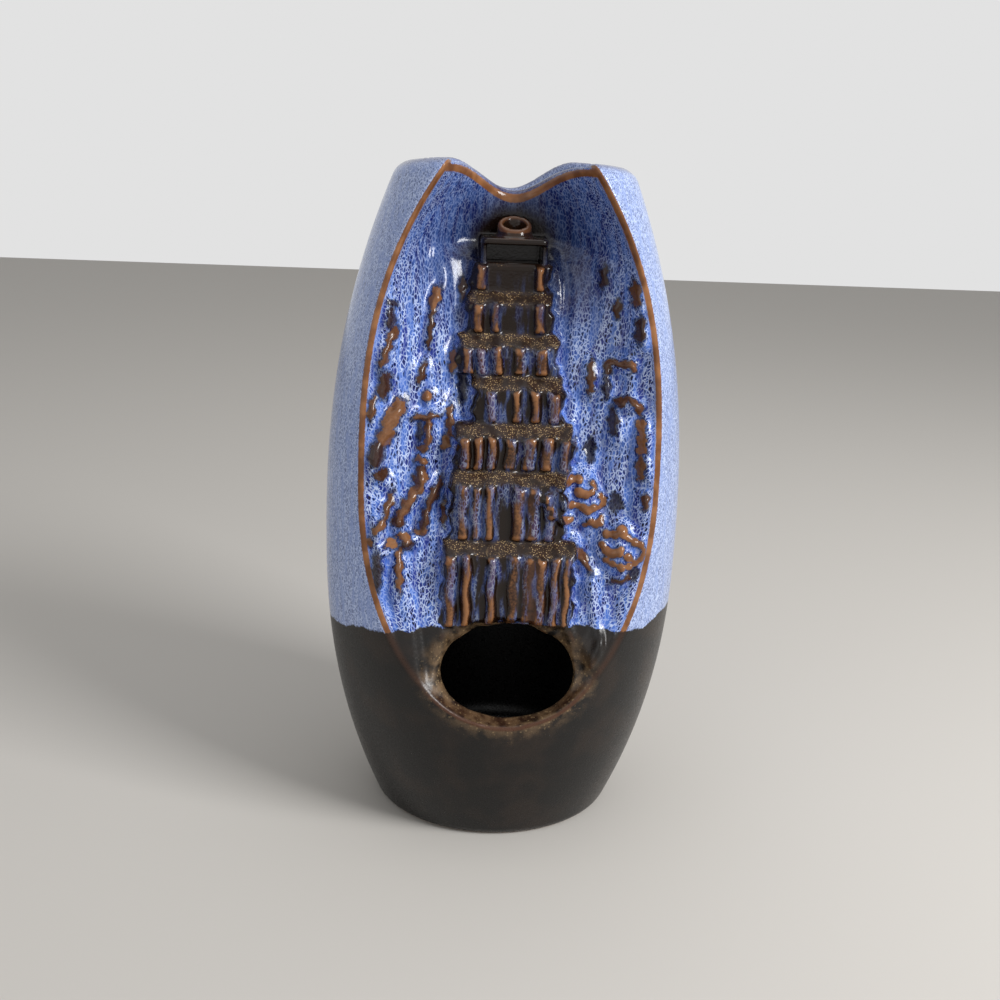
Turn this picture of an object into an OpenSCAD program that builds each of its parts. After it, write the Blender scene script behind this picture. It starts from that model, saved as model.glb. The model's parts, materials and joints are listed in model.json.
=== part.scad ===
// Backflow incense burner: a hollow slip-cast vase of oval plan, with a waterfall in a deep front recess.
// The front of the vase faces -Y, up is +Z, and the foot's middle is the origin.

/* [Body] */
// Height of the vase from the foot to the horns of the mouth
body_h = 190; // [180:1:205]
// Width of the vase at its belly
belly_w = 103; // [95:1:125]
// Depth of the vase at its belly, front to back
belly_d = 88; // [82:1:110]
// Height of the widest part of the belly
belly_z = 80; // [70:1:90]
// Width of the foot
base_w = 71; // [60:1:85]
// Width across the mouth
mouth_w = 62; // [58:1:72]
// Thickness of the clay wall
wall = 4.5; // [3:0.1:5.5]
// Thickness of the closed floor
floor_t = 6; // [4:0.5:10]
// Radius of the rounded edge under the foot
foot_round = 2.5; // [1:0.1:4]

/* [Mouth] */
// How far the rim dips at the front and at the back
rim_dip = 8; // [0:0.5:12]
// How far the rim falls from the horns to its sides
rim_fall = 1.5; // [0:0.1:3]
// Distance between the two horns of the rim
horn_gap = 36; // [30:1:44]
// How far the front of the rim stands back from the horns
collar_back = 25.5; // [20:0.5:27]

/* [Recess] */
// Width of the carved recess at its widest
recess_w = 80; // [72:1:85]
// Height of the recess's widest part
recess_z = 106; // [98:1:112]
// Height of the lowest point of the recess's edge
recess_low = 42; // [38:1:46]
// Place of the recess's back wall behind the cone, measured back from the axis
recess_back = 2.5; // [0:0.5:4]
// How strongly the carved rocks stand out
rock_h = 2.9; // [0.5:0.1:3.5]

/* [Falls] */
// Height of the lowest riser's foot
falls_z = 67; // [66.5:0.5:69]
// Width of the lowest tier
falls_w = 36; // [30:1:40]
// How far the lowest riser stands in front of the axis
falls_front = 30.6; // [29:0.2:32]
// How far the top tier stands back from the lowest one
falls_run = 23; // [21:0.5:24]
// How far the ribs stand out from a riser
rib_h = 1.8; // [0.5:0.1:2.5]
// Width of one rib
rib_w = 3.4; // [2:0.1:4.2]
// How far a tread climbs for each millimetre that it runs back
tread_slope = 0.7; // [0.1:0.05:0.9]

/* [Cone seat] */
// Height of the ledge that takes the cone
ledge_z = 170; // [168:0.5:172]
// Thickness of the ledge above the smoke slot
ledge_t = 1.9; // [1.5:0.1:3]
// Width of the ledge
ledge_w = 18; // [17.5:0.5:20]
// How far the ledge stands out over the top riser
ledge_out = 1.5; // [0.5:0.1:2.5]
// Width of the slot that lets the smoke out under the ledge
slot_w = 15; // [10:0.5:17]
// Height of that slot
slot_h = 4.6; // [4.4:0.1:6]
// Bore of the smoke hole
smoke_d = 6.2; // [5.8:0.1:6.6]
// Place of the smoke hole, measured in front of the axis
seat_y = 3; // [2.6:0.1:3.4]
// Height of the mound round the smoke hole
seat_h = 3.8; // [2.5:0.1:4.5]
// Width of the mound's clay at its top
seat_w = 1; // [0.8:0.1:1.3]
// How far the mound's top tips to the front
seat_tip = 22; // [0:1:24]

/* [Pool] */
// Width of the large hole at the foot of the falls
pool_w = 37; // [32:1:39]
// Height of the large hole
pool_h = 24; // [20:1:25]
// Height of the middle of the large hole
pool_z = 54.5; // [53.5:0.5:55]
// How far the large hole stands to the right of the axis
pool_x = 1; // [-2:0.5:3]
// How far the clay turns in round the large hole
pool_funnel = 2.5; // [0:0.1:3.5]

/* [Pines] */
// How far the mounds under the foliage stand out
pine_h = 3; // [1:0.1:3.5]
// Diameter of one puff of foliage
puff_d = 5.3; // [3.6:0.1:5.6]

/* [Hidden] */
black_glaze = "#1e1c1c";

// Powers that shape the flank below and above the belly, and the recess's edge below and above its middle
flank_low = 2.2;
flank_high = 2.4;
edge_low = 2.2;
edge_high = 2.8;
// The recess's floor falls by a mix of two powers from the ledge to its low edge, and the cliffs by one
fall_power = 0.6;
foot_power = 3;
foot_share = 0.25;
cliff_power = 2.8;
// Depth of the gully beside the falls
gully = 1.5;

depth_share = belly_d / belly_w;
falls_top = ledge_z - ledge_t - slot_h;
// Above this height the rows of points bend up to follow the rim
bend_z = 175;
// The recess's edge leaves the rounded bottom at this height
side_z = 54;
// Half the width of the rounded rim, and the rounding where the hollow's wall meets its floor
rim_round = 3.4;
corner = 6;
// Rounding of the ledge's front corners
ledge_round = 2;
// How far a puff's middle lies in its mound
puff_sink = 0.9;
// How far one solid reaches into the next
joint = 1;

// Tiers of the falls from the bottom: share of the height at the tread's edge, and left and right ends
// as shares of the lowest tier's half width
tiers = [
    [0.2215, -0.97, 1.00],
    [0.4164, -0.86, 0.83],
    [0.5437, -0.80, 0.94],
    [0.6700, -0.55, 0.78],
    [0.7816, -0.80, 0.67],
    [0.8942, -0.66, 0.58],
    [1.000, -0.61, 0.53]
];
// Middle of each tier's ribs, as shares of the lowest tier's half width
ribs = [
    [-0.86, -0.62, -0.24, 0.10, 0.32, 0.50, 0.72, 0.90],
    [-0.70, -0.50, -0.30, 0.14, 0.36, 0.62],
    [-0.68, -0.48, -0.28, 0.00, 0.28, 0.55, 0.82],
    [-0.30, 0.08, 0.36, 0.64],
    [-0.66, -0.46, -0.22, 0.12, 0.44],
    [-0.52, -0.26, 0.40],
    [-0.48, 0.40]
];
// Rocks on the cliffs: place across and up, half length, half width, lean from upright and strength
rocks = [
    [-21.2, 169, 9, 1.1, 6, 0.6], [-21.5, 149, 9, 1.9, 12, 0.9], [-32.7, 149.5, 4, 1.5, 0, 0.8],
    [-33.5, 140, 6, 1.5, 21, 0.9], [-24.3, 134, 4.5, 1.5, 6, 0.8], [-15.7, 137, 4.5, 1.3, 0, 0.7],
    [-37, 125, 4.5, 1.2, 12, 0.7], [-31.5, 122, 6, 2.4, 27, 1], [-35.5, 114, 6, 2.2, 12, 1],
    [-22.4, 123.6, 4.8, 1.1, 80, 1], [-22, 118, 5, 1.1, 0, 0.9], [-22.7, 127.8, 2.2, 1.2, 0, 0.8],
    [-16, 123.5, 5, 1.1, 0, 0.7], [-23.5, 111.5, 1.6, 1.4, 0, 0.8], [-24, 107, 3, 1.2, -20, 0.8],
    [-34.8, 107.2, 3.2, 1.3, -60, 0.8], [-26.8, 100.5, 5.6, 1.8, 38, 1], [-29.8, 95, 3.2, 1.6, 8, 0.9],
    [-20.8, 102.5, 4.4, 1.4, 25, 0.9], [-22.4, 96, 4.2, 1.4, 8, 0.9], [-27.5, 90.3, 4, 1.2, 76, 0.9],
    [-33.8, 96, 5.4, 1.4, 20, 0.9], [-17.4, 94.5, 5.4, 1.2, 0, 0.8], [-32.5, 88, 3.4, 1.3, 80, 0.9],
    [-35.2, 82.5, 5.4, 1.5, 0, 0.9], [-29.8, 81, 8, 1.6, 0, 1], [32.6, 156, 4, 1.3, -4, 0.8],
    [23.2, 162, 2.5, 1.2, 0, 0.7], [34.3, 147.5, 4.8, 1.4, -4, 0.9], [21.3, 134.5, 6.8, 2.2, -4, 0.9],
    [25.8, 133, 4.8, 1.4, -4, 0.9], [29, 138.6, 3.6, 1.3, 86, 0.9], [29, 122.5, 5, 1.4, -3, 0.9],
    [31.8, 128.4, 3.6, 1.3, 88, 0.9], [36.4, 120.5, 6, 1.2, -6, 0.9], [37.4, 111.5, 4.6, 1.2, -12, 0.9],
    [37.4, 102.8, 2.4, 1.2, 0, 0.8], [20, 87, 4.6, 1.3, -32, 1], [23.2, 79.5, 3, 1.6, 0, 0.8],
    [32, 82.6, 4.2, 1.2, 66, 0.9], [35, 79, 5.4, 1.3, 10, 0.9], [25, 62, 5, 1.5, 20, 0.9],
    [29, 63, 5, 1.3, 15, 0.8]
];
// Mounds of foliage: place across and up, half width, half height and strength
pines = [[18.5, 103, 7.4, 8.6, 1], [31, 90.5, 7, 7.4, 0.9], [9.5, 103.3, 2.8, 2.6, 0.4]];
// Puffs on the mounds: place across and up, and size as a share of puff_d
puffs = [
    [16.7, 109.7, 0.9], [22.2, 108.1, 1], [13.4, 106.2, 0.9], [20.2, 105.3, 1], [25, 102.8, 0.9],
    [14.5, 101.5, 0.9], [17.6, 101.2, 0.8], [21.3, 101, 0.9], [23.4, 97.9, 1], [16, 97.2, 1],
    [9.3, 103.3, 0.7], [26.6, 94.6, 0.9], [30.2, 96.2, 1], [34.6, 93.3, 1], [28, 90.3, 1],
    [32.5, 88.6, 1], [36, 88.5, 0.8], [31.9, 85.1, 1], [27.7, 86.2, 0.9]
];

// How far a rock's foot spreads round its crest, and the foot's share of its height
rock_skirt = 2.6;
skirt_share = 0.5;
// Soft widths: round the heads and feet of the ribs, at the ends of the tiers and at the recess's edge
rib_soft = 1.4;
end_soft = 1.2;
edge_soft = 3;
// Share of its height that a rib has at its foot
rib_foot = 0.4;
// Reach of the funnel round the large hole, as a share of the hole's size
funnel_reach = 0.35;
// Thicker clay behind the cliffs as a multiple of the wall, and the hollow's front corners as a share
cliff_swell = 4;
corner_share = 0.7;

// Columns of points: across each cliff, across the falls, and round the outside from edge to edge
n_cliff = 11;
n_falls = 38;
n_out = 24;
n_front = 2 * n_cliff + n_falls;
n_round = n_front + n_out;
// Fine rows of the recess to one row of the outside
row_skip = 3;
// How far the close columns reach past the falls, and the most they take of the recess
falls_rim = 1.5;
falls_most = 0.6;
// Step between the two rows of points at a tier's edge
row_step = 0.1;
// Sides of the rounds, of the large hole and of a puff
round_fn = 48;
pool_fn = 72;
puff_fn = 14;

function clamp(v) = min(1, max(0, v));
function smooth(v) = let (c = clamp(v)) c * c * (3 - 2 * c);
function mix(a, b, s) = a + (b - a) * s;

// Outline of the vase: half its width at a height, and its surface at the front
function half_w(z) = z < belly_z
    ? belly_w / 2 - (belly_w - base_w) / 2 * pow(1 - max(z, 0) / belly_z, flank_low)
    : belly_w / 2 - (belly_w - mouth_w) / 2 * pow((z - belly_z) / (body_h - belly_z), flank_high);
function front_y(x, z, inset = 0) = -oval(x, half_w(z) - inset, inset);
function oval(x, w, inset) =
    let (d = depth_share * (w + inset) - inset) d * sqrt(max(0, 1 - pow(x / w, 2)));

// Edge of the recess: half its width at a height, and its height at a place below the middle
function edge_x(z) = z < recess_z
    ? recess_w / 2 * sqrt(max(0, 1 - pow((recess_z - z) / (recess_z - recess_low), edge_low)))
    : mix(recess_w, horn_gap, pow((z - recess_z) / (body_h - recess_z), edge_high)) / 2;
function low_edge_z(x) =
    recess_z - (recess_z - recess_low) * pow(1 - pow(2 * x / recess_w, 2), 1 / edge_low);

// Height of the rim's crest
function rim_z(x) = body_h
    - rim_dip * (1 + cos(180 * clamp(2 * abs(x) / horn_gap))) / 2
    - rim_fall * pow(clamp((2 * abs(x) - horn_gap) / (mouth_w - horn_gap)), 2);

// Smooth floor of the recess, with the collar that leans out to the rim
horn_y = front_y(horn_gap / 2, body_h);
function middle_y(z) =
    let (s = clamp((ledge_z - z) / (ledge_z - recess_low)))
    mix(recess_back, front_y(0, recess_low), mix(pow(s, fall_power), pow(s, foot_power), foot_share));
function floor_y(x, z) =
    let (
        e = max(edge_x(z), abs(x), 1),
        y = mix(front_y(e, z), middle_y(z) + gully, 1 - pow(abs(x) / e, cliff_power)),
        c = smooth((z - bend_z) / (rim_z(x) - bend_z)),
        rim_y = mix(horn_y + collar_back, horn_y, pow(min(1, abs(x) / e), 2))
    )
    mix(y, rim_y, c);

// Stepped face of the falls, as a table of height and place
function tier_z(i) = i < 0 ? falls_z : mix(falls_z, falls_top, tiers[i][0]);
function tier_y(i) = -falls_front + falls_run * i / (len(tiers) - 1);
function tread_y(i) = i < len(tiers) - 1 ? tier_y(i + 1) : recess_back;
function foot_z(i) = i == 0 ? falls_z : tier_z(i - 1) + tread_slope * (tier_y(i) - tier_y(i - 1));
function tier_at(z) = let (above = [for (i = [0:len(tiers) - 1]) if (z < foot_z(i)) i])
    len(above) ? above[0] - 1 : len(tiers) - 1;
function falls_y(x, z) =
    let (
        i = tier_at(z),
        top = tier_z(i),
        tread = clamp((z - top) / (tread_slope * (tread_y(i) - tier_y(i)))),
        bump = max([for (r = ribs[i]) rib(x - r * falls_w / 2, z - foot_z(i), top - z)])
    )
    mix(tier_y(i) - rib_h * bump, tread_y(i), tread);
function rib(x, up, down) =
    let (s = 1 - pow(2 * x / rib_w, 2))
    s <= 0 || down < 0 ? 0 : sqrt(s * clamp(down / rib_soft)) * clamp(rib_foot + up / rib_soft);
function in_falls(x, z) =
    let (i = tier_at(z))
    i < 0 || z > falls_top ? 0
        : clamp((x - tiers[i][1] * falls_w / 2) / end_soft + 1)
            * clamp((tiers[i][2] * falls_w / 2 - x) / end_soft + 1);

// Height of a rock over the cliff at a place
function rock(r, x, z) =
    let (
        dx = x - r[0],
        dz = z - r[1],
        u = dz * cos(r[4]) + dx * sin(r[4]),
        v = dx * cos(r[4]) - dz * sin(r[4]),
        s = 1 - pow(u / r[2], 2) - pow(v / r[3], 2)
    )
    r[5] * mix(sqrt(max(0, s)), skirt(u / (r[2] + rock_skirt), v / (r[3] + rock_skirt)), skirt_share);
function skirt(u, v) = smooth(1 - u * u - v * v);

// Height of a mound of foliage at a place, as a share of pine_h
function pine(p, x, z) =
    let (s = 1 - pow((x - p[0]) / p[2], 2) - pow((z - p[1]) / p[3], 2))
    s > 0 ? p[4] * sqrt(s) : 0;

// Clay turned in round the large hole
function funnel(x, z) =
    let (reach = norm([2 * (x - pool_x) / pool_w, 2 * (z - pool_z) / pool_h]))
    pool_funnel * smooth((1 + funnel_reach - reach) / funnel_reach);

// Carved surface of the recess
function carved_y(x, z) =
    let (
        base = floor_y(x, z),
        shade = clamp((edge_x(z) - abs(x)) / edge_soft),
        rocky = base - rock_h * shade * max([for (r = rocks) rock(r, x, z)]),
        share = in_falls(x, z),
        stepped = share > 0 ? mix(rocky, min(rocky, falls_y(x, z)), share) : rocky,
        mound = pine_h * max([for (p = pines) pine(p, x, z)])
    )
    max(front_y(x, z), stepped - mound + funnel(x, z));

// Rows of the recess: the rounded bottom, the tiers, the back wall and the bend up to the rim
low_rows = [0, 0.1, 0.2, 0.32, 0.45, 0.6, 0.75, 0.88];
tier_rows = [for (i = [0:len(tiers) - 1])
    let (a = foot_z(i), b = tier_z(i) - row_step) for (s = [0, 0.35, 0.7, 0.9, 1]) mix(a, b, s)];
wall_rows = [falls_top + 3 * row_step, mix(falls_top, bend_z, 0.35), mix(falls_top, bend_z, 0.7)];
rim_rows = [0.2, 0.4, 0.6, 0.8, 0.92, 1];
n_low = len(low_rows);
n_flat = n_low + len(tier_rows) + len(wall_rows);
n_rows = n_flat + len(rim_rows) - 1;

// Height of a row where it meets the recess's edge
function end_z(i) = i < n_low ? mix(side_z, falls_z, low_rows[i])
    : i < n_low + len(tier_rows) ? tier_rows[i - n_low]
    : i < n_flat ? wall_rows[i - n_low - len(tier_rows)]
    : mix(bend_z, body_h - rim_round, rim_rows[i - n_flat]);
function bent_z(i, x, low_x) = i < n_low ? mix(low_edge_z(low_x), falls_z, low_rows[i])
    : i < n_flat ? end_z(i)
    : mix(bend_z, rim_z(x) - rim_round, rim_rows[i - n_flat]);

// Place across of a front column, for an edge at e
function column_x(j, e) =
    let (f = min(falls_w / 2 + falls_rim, falls_most * e))
    j < n_cliff ? mix(-e, -f, j / n_cliff)
        : j <= n_cliff + n_falls ? mix(-f, f, (j - n_cliff) / n_falls)
        : mix(f, e, (j - n_cliff - n_falls) / n_cliff);

// Points of one row round the vase, first across the front and then round the back
function front_point(i, j) =
    let (
        x = column_x(j, edge_x(end_z(i))),
        z = bent_z(i, x, column_x(j, edge_x(side_z))),
        rim_edge = j == 0 || j == n_front || i == 0
    )
    [x, rim_edge ? front_y(x, z) : carved_y(x, z), z];
function edge_angle(z) = asin(edge_x(z) / half_w(z));
function back_angle(j, z) = let (a = edge_angle(z)) mix(a, 360 - a, j / n_out);
function oval_point(a, z, inset, top_z) =
    let (w = half_w(z) - inset, d = depth_share * half_w(z) - inset) [w * sin(a), -d * cos(a), top_z];
function back_point(i, j) =
    let (
        e = end_z(i),
        a = back_angle(j, e),
        x = half_w(e) * sin(a)
    )
    oval_point(a, e, 0, i < n_flat ? e : bent_z(i, x, 0));
function row_points(i) = concat(
    [for (j = [0:n_front]) front_point(i, j)],
    [for (j = [1:n_out - 1]) back_point(i, j)]
);

// Rows below the recess, from the rounded foot up
foot_rows = [0, 45, 90];
flank_rows = [0.25, 0.5, 0.75];
n_foot = len(foot_rows);
n_below = n_foot + len(flank_rows);
function below_point(m, j) =
    let (
        x = column_x(j, edge_x(side_z)),
        top = j <= n_front ? low_edge_z(x) : side_z,
        a = j <= n_front ? asin(x / half_w(top)) : back_angle(j - n_front, side_z),
        turn = m < n_foot ? foot_rows[m] : 90,
        z = m < n_foot ? foot_round * (1 - cos(turn)) : mix(foot_round, top, flank_rows[m - n_foot])
    )
    oval_point(a, z, foot_round * (1 - sin(turn)), z);

// Surface of the hollow, one wall behind the outside and behind the recess's floor
function hollow_y(x, z, inset) =
    let (
        s = min(1, abs(x) / max(edge_x(z), 1)),
        behind = wall * (1 + cliff_swell * s * s * (1 - s)),
        front = front_y(x, z, inset)
    )
    z < recess_low ? front : max(front, floor_y(x, z) + behind);
function hollow_edge(z) = edge_x(max(z, side_z)) - corner_share * wall;
function hollow_point(j, z, inset, bend) =
    let (
        e = hollow_edge(z),
        a = asin(e / (half_w(z) - inset)),
        turn = mix(a, 360 - a, (j - n_front) / n_out),
        x = j <= n_front ? column_x(j, e) : (half_w(z) - inset) * sin(turn),
        up = bend > 0 ? mix(bend_z, rim_z(x) - rim_round, bend) : z
    )
    j <= n_front ? [x, hollow_y(x, up, inset), up] : oval_point(turn, z, inset, up);

// Rows of the hollow from the rim down: height, inset from the outside and bend
hollow_rows = concat(
    [for (s = [0.75, 0.45, 0.15]) [mix(bend_z, body_h - rim_round, s), wall, s]],
    [for (s = [0.04, 0.08, 0.14, 0.2, 0.29, 0.38, 0.48, 0.58, 0.68, 0.78, 0.86, 0.93, 1])
        [mix(bend_z, recess_low, s), wall, 0]],
    [for (s = [0.65, 0.3]) [mix(floor_t + corner, recess_low, s), wall, 0]],
    [for (a = [0, 45, 90]) [floor_t + corner * (1 - sin(a)), wall + corner * (1 - cos(a)), 0]]
);

// Point of the rounded rim between the outside and the hollow, at a turn
function crest_point(out, in, turn) =
    let (middle = (out + in) / 2)
    middle + (out - middle) * cos(turn) + [0, 0, rim_round * sin(turn)];

// All points of the clay: below the recess, up the outside, over the rim and down the hollow
below = [for (m = [0:n_below - 1]) [for (j = [0:n_round - 1]) below_point(m, j)]];
outside = [for (i = [0:n_rows]) row_points(i)];
brink = [for (j = [0:n_round - 1]) hollow_point(j, body_h - rim_round, wall, 1)];
crest = [for (a = [45, 90, 135])
    [for (j = [0:n_round - 1]) crest_point(outside[n_rows][j], brink[j], a)]];
fine = concat(below, outside, crest, [brink]);
n_fine = len(fine);
n_half = n_round / 2;
coarse = [for (r = hollow_rows) [for (c = [0:n_half - 1]) hollow_point(2 * c, r[0], r[1], r[2])]];
n_coarse = len(coarse);
clay_points = [for (r = concat(fine, coarse)) each r];

function f_id(i, j) = i * n_round + j % n_round;
function c_id(k, c) = n_fine * n_round + k * n_half + c % n_half;
function quad(a, b, c, d) = [[a, b, c], [a, c, d]];
function f_quad(i, j) = quad(f_id(i, j), f_id(i + 1, j), f_id(i + 1, j + 1), f_id(i, j + 1));
function c_quad(k, c) = quad(c_id(k, c), c_id(k + 1, c), c_id(k + 1, c + 1), c_id(k, c + 1));

// The outside takes one row for each row_skip rows of the recess, and fans join the two at the edge
first = n_below;
last = n_below + n_rows;
steps = [for (i = [0:row_skip:n_rows - 1]) [first + i, first + min(n_rows, i + row_skip)]];
function right_fan(p, q) =
    let (j = n_front, mid = floor((p + q) / 2))
    concat(
        [for (i = [p:q - 1]) [f_id(i, j), f_id(i + 1, j), f_id(i < mid ? p : q, j + 1)]],
        [[f_id(mid, j), f_id(q, j + 1), f_id(p, j + 1)]]
    );
function left_fan(p, q) =
    let (j = n_round - 1, mid = floor((p + q) / 2))
    concat(
        [for (i = [p:q - 1]) [f_id(i < mid ? p : q, j), f_id(i + 1, 0), f_id(i, 0)]],
        [[f_id(p, j), f_id(q, j), f_id(mid, 0)]]
    );
function outer_quad(p, q, j) = quad(f_id(p, j), f_id(q, j), f_id(q, j + 1), f_id(p, j + 1));
function brink_fan(c) =
    let (b = n_fine - 1, j = 2 * c)
    [
        [f_id(b, j), c_id(0, c), f_id(b, j + 1)],
        [f_id(b, j + 1), c_id(0, c), c_id(0, c + 1)],
        [f_id(b, j + 1), c_id(0, c + 1), f_id(b, j + 2)]
    ];
clay_faces = concat(
    [[for (j = [0:n_round - 1]) f_id(0, j)]],
    [for (i = [0:first - 1]) for (j = [0:n_round - 1]) each f_quad(i, j)],
    [for (i = [first:last - 1]) for (j = [0:n_front - 1]) each f_quad(i, j)],
    [for (s = steps) each right_fan(s[0], s[1])],
    [for (s = steps) for (j = [n_front + 1:n_round - 2]) each outer_quad(s[0], s[1], j)],
    [for (s = steps) each left_fan(s[0], s[1])],
    [for (i = [last:n_fine - 2]) for (j = [0:n_round - 1]) each f_quad(i, j)],
    [for (c = [0:n_half - 1]) each brink_fan(c)],
    [for (k = [0:n_coarse - 2]) for (c = [0:n_half - 1]) each c_quad(k, c)],
    [[for (c = [n_half - 1:-1:0]) c_id(n_coarse - 1, c)]]
);

// Slip-cast shell with its carved recess
module clay_shell() {
    color(black_glaze) polyhedron(clay_points, clay_faces, convexity = 12);
}

// Ledge over the slot with round front corners, and the two cheeks that carry it on the top tier
top_front = tier_y(len(tiers) - 1);
ledge_back = recess_back + wall / 2;
module ledge() {
    color(black_glaze) translate([0, top_front - ledge_out, ledge_z - ledge_t])
        linear_extrude(ledge_t) ledge_plan(ledge_back - top_front + ledge_out);
    color(black_glaze) translate([0, top_front, falls_top - joint])
        linear_extrude(slot_h + ledge_t / 2 + joint) ledge_plan(ledge_back - top_front);
}
module ledge_plan(deep) {
    side = ledge_w / 2 - ledge_round;
    translate([-ledge_w / 2, ledge_round]) square([ledge_w, deep - ledge_round]);
    translate([-side, 0]) square([2 * side, deep]);
    for (s = [-1, 1]) translate([s * side, ledge_round]) circle(r = ledge_round, $fn = round_fn);
}

// Slot under the ledge, open to the front
module slot_cut() {
    slot_front = top_front - wall;
    slot_end = smoke_d / 2 - seat_y + joint;
    translate([-slot_w / 2, slot_front, falls_top]) cube([slot_w, slot_end - slot_front, slot_h]);
}

// Mound that the cone stands on, with its tipped top, and the smoke hole through it
seat_d = smoke_d + 2 * seat_w;
seat_foot = seat_d + seat_h / 2;
seat_rise = seat_d * tan(seat_tip);
module seat() {
    color(black_glaze) translate([0, -seat_y, ledge_z]) difference() {
        translate([0, 0, -ledge_t / 2])
            cylinder(d1 = seat_foot, d2 = seat_d, h = ledge_t / 2 + seat_h + seat_rise, $fn = round_fn);
        translate([0, 0, seat_h]) rotate([seat_tip, 0, 0]) translate([-seat_d, -seat_d, 0])
            cube([2 * seat_d, 2 * seat_d, 2 * seat_d]);
    }
}
module smoke_hole() {
    hole_len = slot_h + ledge_t + seat_h + seat_rise;
    translate([0, -seat_y, falls_top + slot_h / 2]) cylinder(d = smoke_d, h = hole_len, $fn = round_fn);
}

// Large hole at the foot of the falls, cut from inside the hollow to in front of the vase
module pool_cut() {
    translate([pool_x, -belly_d / 8, pool_z]) rotate([90, 0, 0])
        linear_extrude(belly_d / 2) scale([1, pool_h / pool_w]) circle(d = pool_w, $fn = pool_fn);
}

// Puffs of foliage on the two pines
module foliage() {
    color("steelblue") for (p = puffs)
        translate([p[0], carved_y(p[0], p[1]) + puff_sink, p[1]]) sphere(d = puff_d * p[2], $fn = puff_fn);
}

// The whole slip-cast body
module burner_body() {
    difference() {
        union() {
            clay_shell();
            foliage();
            ledge();
            seat();
        }
        slot_cut();
        smoke_hole();
        pool_cut();
    }
}

burner_body();
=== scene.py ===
"""Backflow incense burner: a glazed slip-cast vase with its carved waterfall, and a plain studio round it."""

import json
import logging
import math
from dataclasses import dataclass, field
from enum import Enum
from typing import Callable

import bpy
import numpy as np
from mathutils import Matrix, Vector

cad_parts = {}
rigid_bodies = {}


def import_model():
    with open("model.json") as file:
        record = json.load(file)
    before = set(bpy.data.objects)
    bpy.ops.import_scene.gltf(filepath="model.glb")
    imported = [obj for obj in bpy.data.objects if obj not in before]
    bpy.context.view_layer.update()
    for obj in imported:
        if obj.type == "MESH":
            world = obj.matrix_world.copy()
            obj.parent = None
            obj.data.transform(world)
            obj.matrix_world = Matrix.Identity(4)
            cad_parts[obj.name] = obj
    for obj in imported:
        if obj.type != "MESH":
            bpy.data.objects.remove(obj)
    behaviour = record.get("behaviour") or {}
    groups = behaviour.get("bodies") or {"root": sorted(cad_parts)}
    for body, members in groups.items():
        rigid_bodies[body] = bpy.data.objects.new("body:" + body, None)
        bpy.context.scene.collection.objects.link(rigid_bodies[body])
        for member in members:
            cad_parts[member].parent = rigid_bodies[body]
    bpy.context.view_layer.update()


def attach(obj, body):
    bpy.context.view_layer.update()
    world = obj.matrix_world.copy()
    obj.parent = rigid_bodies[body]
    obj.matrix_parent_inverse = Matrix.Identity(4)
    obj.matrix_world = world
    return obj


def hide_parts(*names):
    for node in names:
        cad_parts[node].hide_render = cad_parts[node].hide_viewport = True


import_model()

log = logging.getLogger("burner")
Array = np.ndarray
MM = 0.001
TINY = 1e-9

# How many standard deviations of a bell curve count
BELL_REACH = 3


# Small functions of shape; every place and distance of the clay is in millimetres


def clamp(value: Array) -> Array:
    """Holds a value between 0 and 1."""
    return np.clip(value, 0.0, 1.0)


def smooth(value: Array) -> Array:
    """Eases a value from 0 to 1."""
    held = clamp(value)
    return held * held * (3.0 - 2.0 * held)


def mix(start: Array, end: Array, share: Array) -> Array:
    """Goes from start to end by a share."""
    return start + (end - start) * share


def soft_max(first: Array, second: Array, width: float) -> Array:
    """Meets two surfaces in a rounded edge.

    Args:
        first: Signed distance to the first surface.
        second: Signed distance to the second surface.
        width: Width of the rounding, in millimetres.

    Returns:
        The signed distance to what both hold.
    """
    near = np.maximum(width - np.abs(first - second), 0.0) / width
    return np.maximum(first, second) + near * near * width / 4.0


def soft_min(first: Array, second: Array, width: float) -> Array:
    """Joins two solids with a rounded fillet, as soft_max does for what both hold."""
    return -soft_max(-first, -second, width)


@dataclass(frozen=True)
class Wave:
    """One sine wave over the front: pace across and up, in radians per millimetre, start and height."""

    across: float
    up: float
    start: float = 0.0
    high: float = 1.0


def swayed(base: Array, x: Array, z: Array, waves: tuple[Wave, ...]) -> Array:
    """Adds waves to a value.

    Args:
        base: The value.
        x: Places across, in millimetres.
        z: Heights, in millimetres.
        waves: The waves.

    Returns:
        The value with the waves.
    """
    for wave in waves:
        base = base + wave.high * np.sin(wave.across * x + wave.up * z + wave.start)
    return base


def blur(table: Array, spread: float) -> Array:
    """Softens a table of heights, as a coat of glaze does.

    Args:
        table: Heights over a regular grid.
        spread: Standard deviation of the softening, in grid steps.

    Returns:
        The softened table.
    """
    reach = max(1, int(math.ceil(BELL_REACH * spread)))
    steps = np.arange(-reach, reach + 1)
    weights = np.exp(-0.5 * (steps / spread) ** 2)
    weights /= weights.sum()
    out = table
    for axis in (0, 1):
        pad = [(reach, reach) if k == axis else (0, 0) for k in (0, 1)]
        wide = np.pad(out, pad, mode="edge")
        size = out.shape[axis]
        out = sum(w * np.take(wide, np.arange(k, k + size), axis=axis) for k, w in enumerate(weights))
    return out


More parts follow.
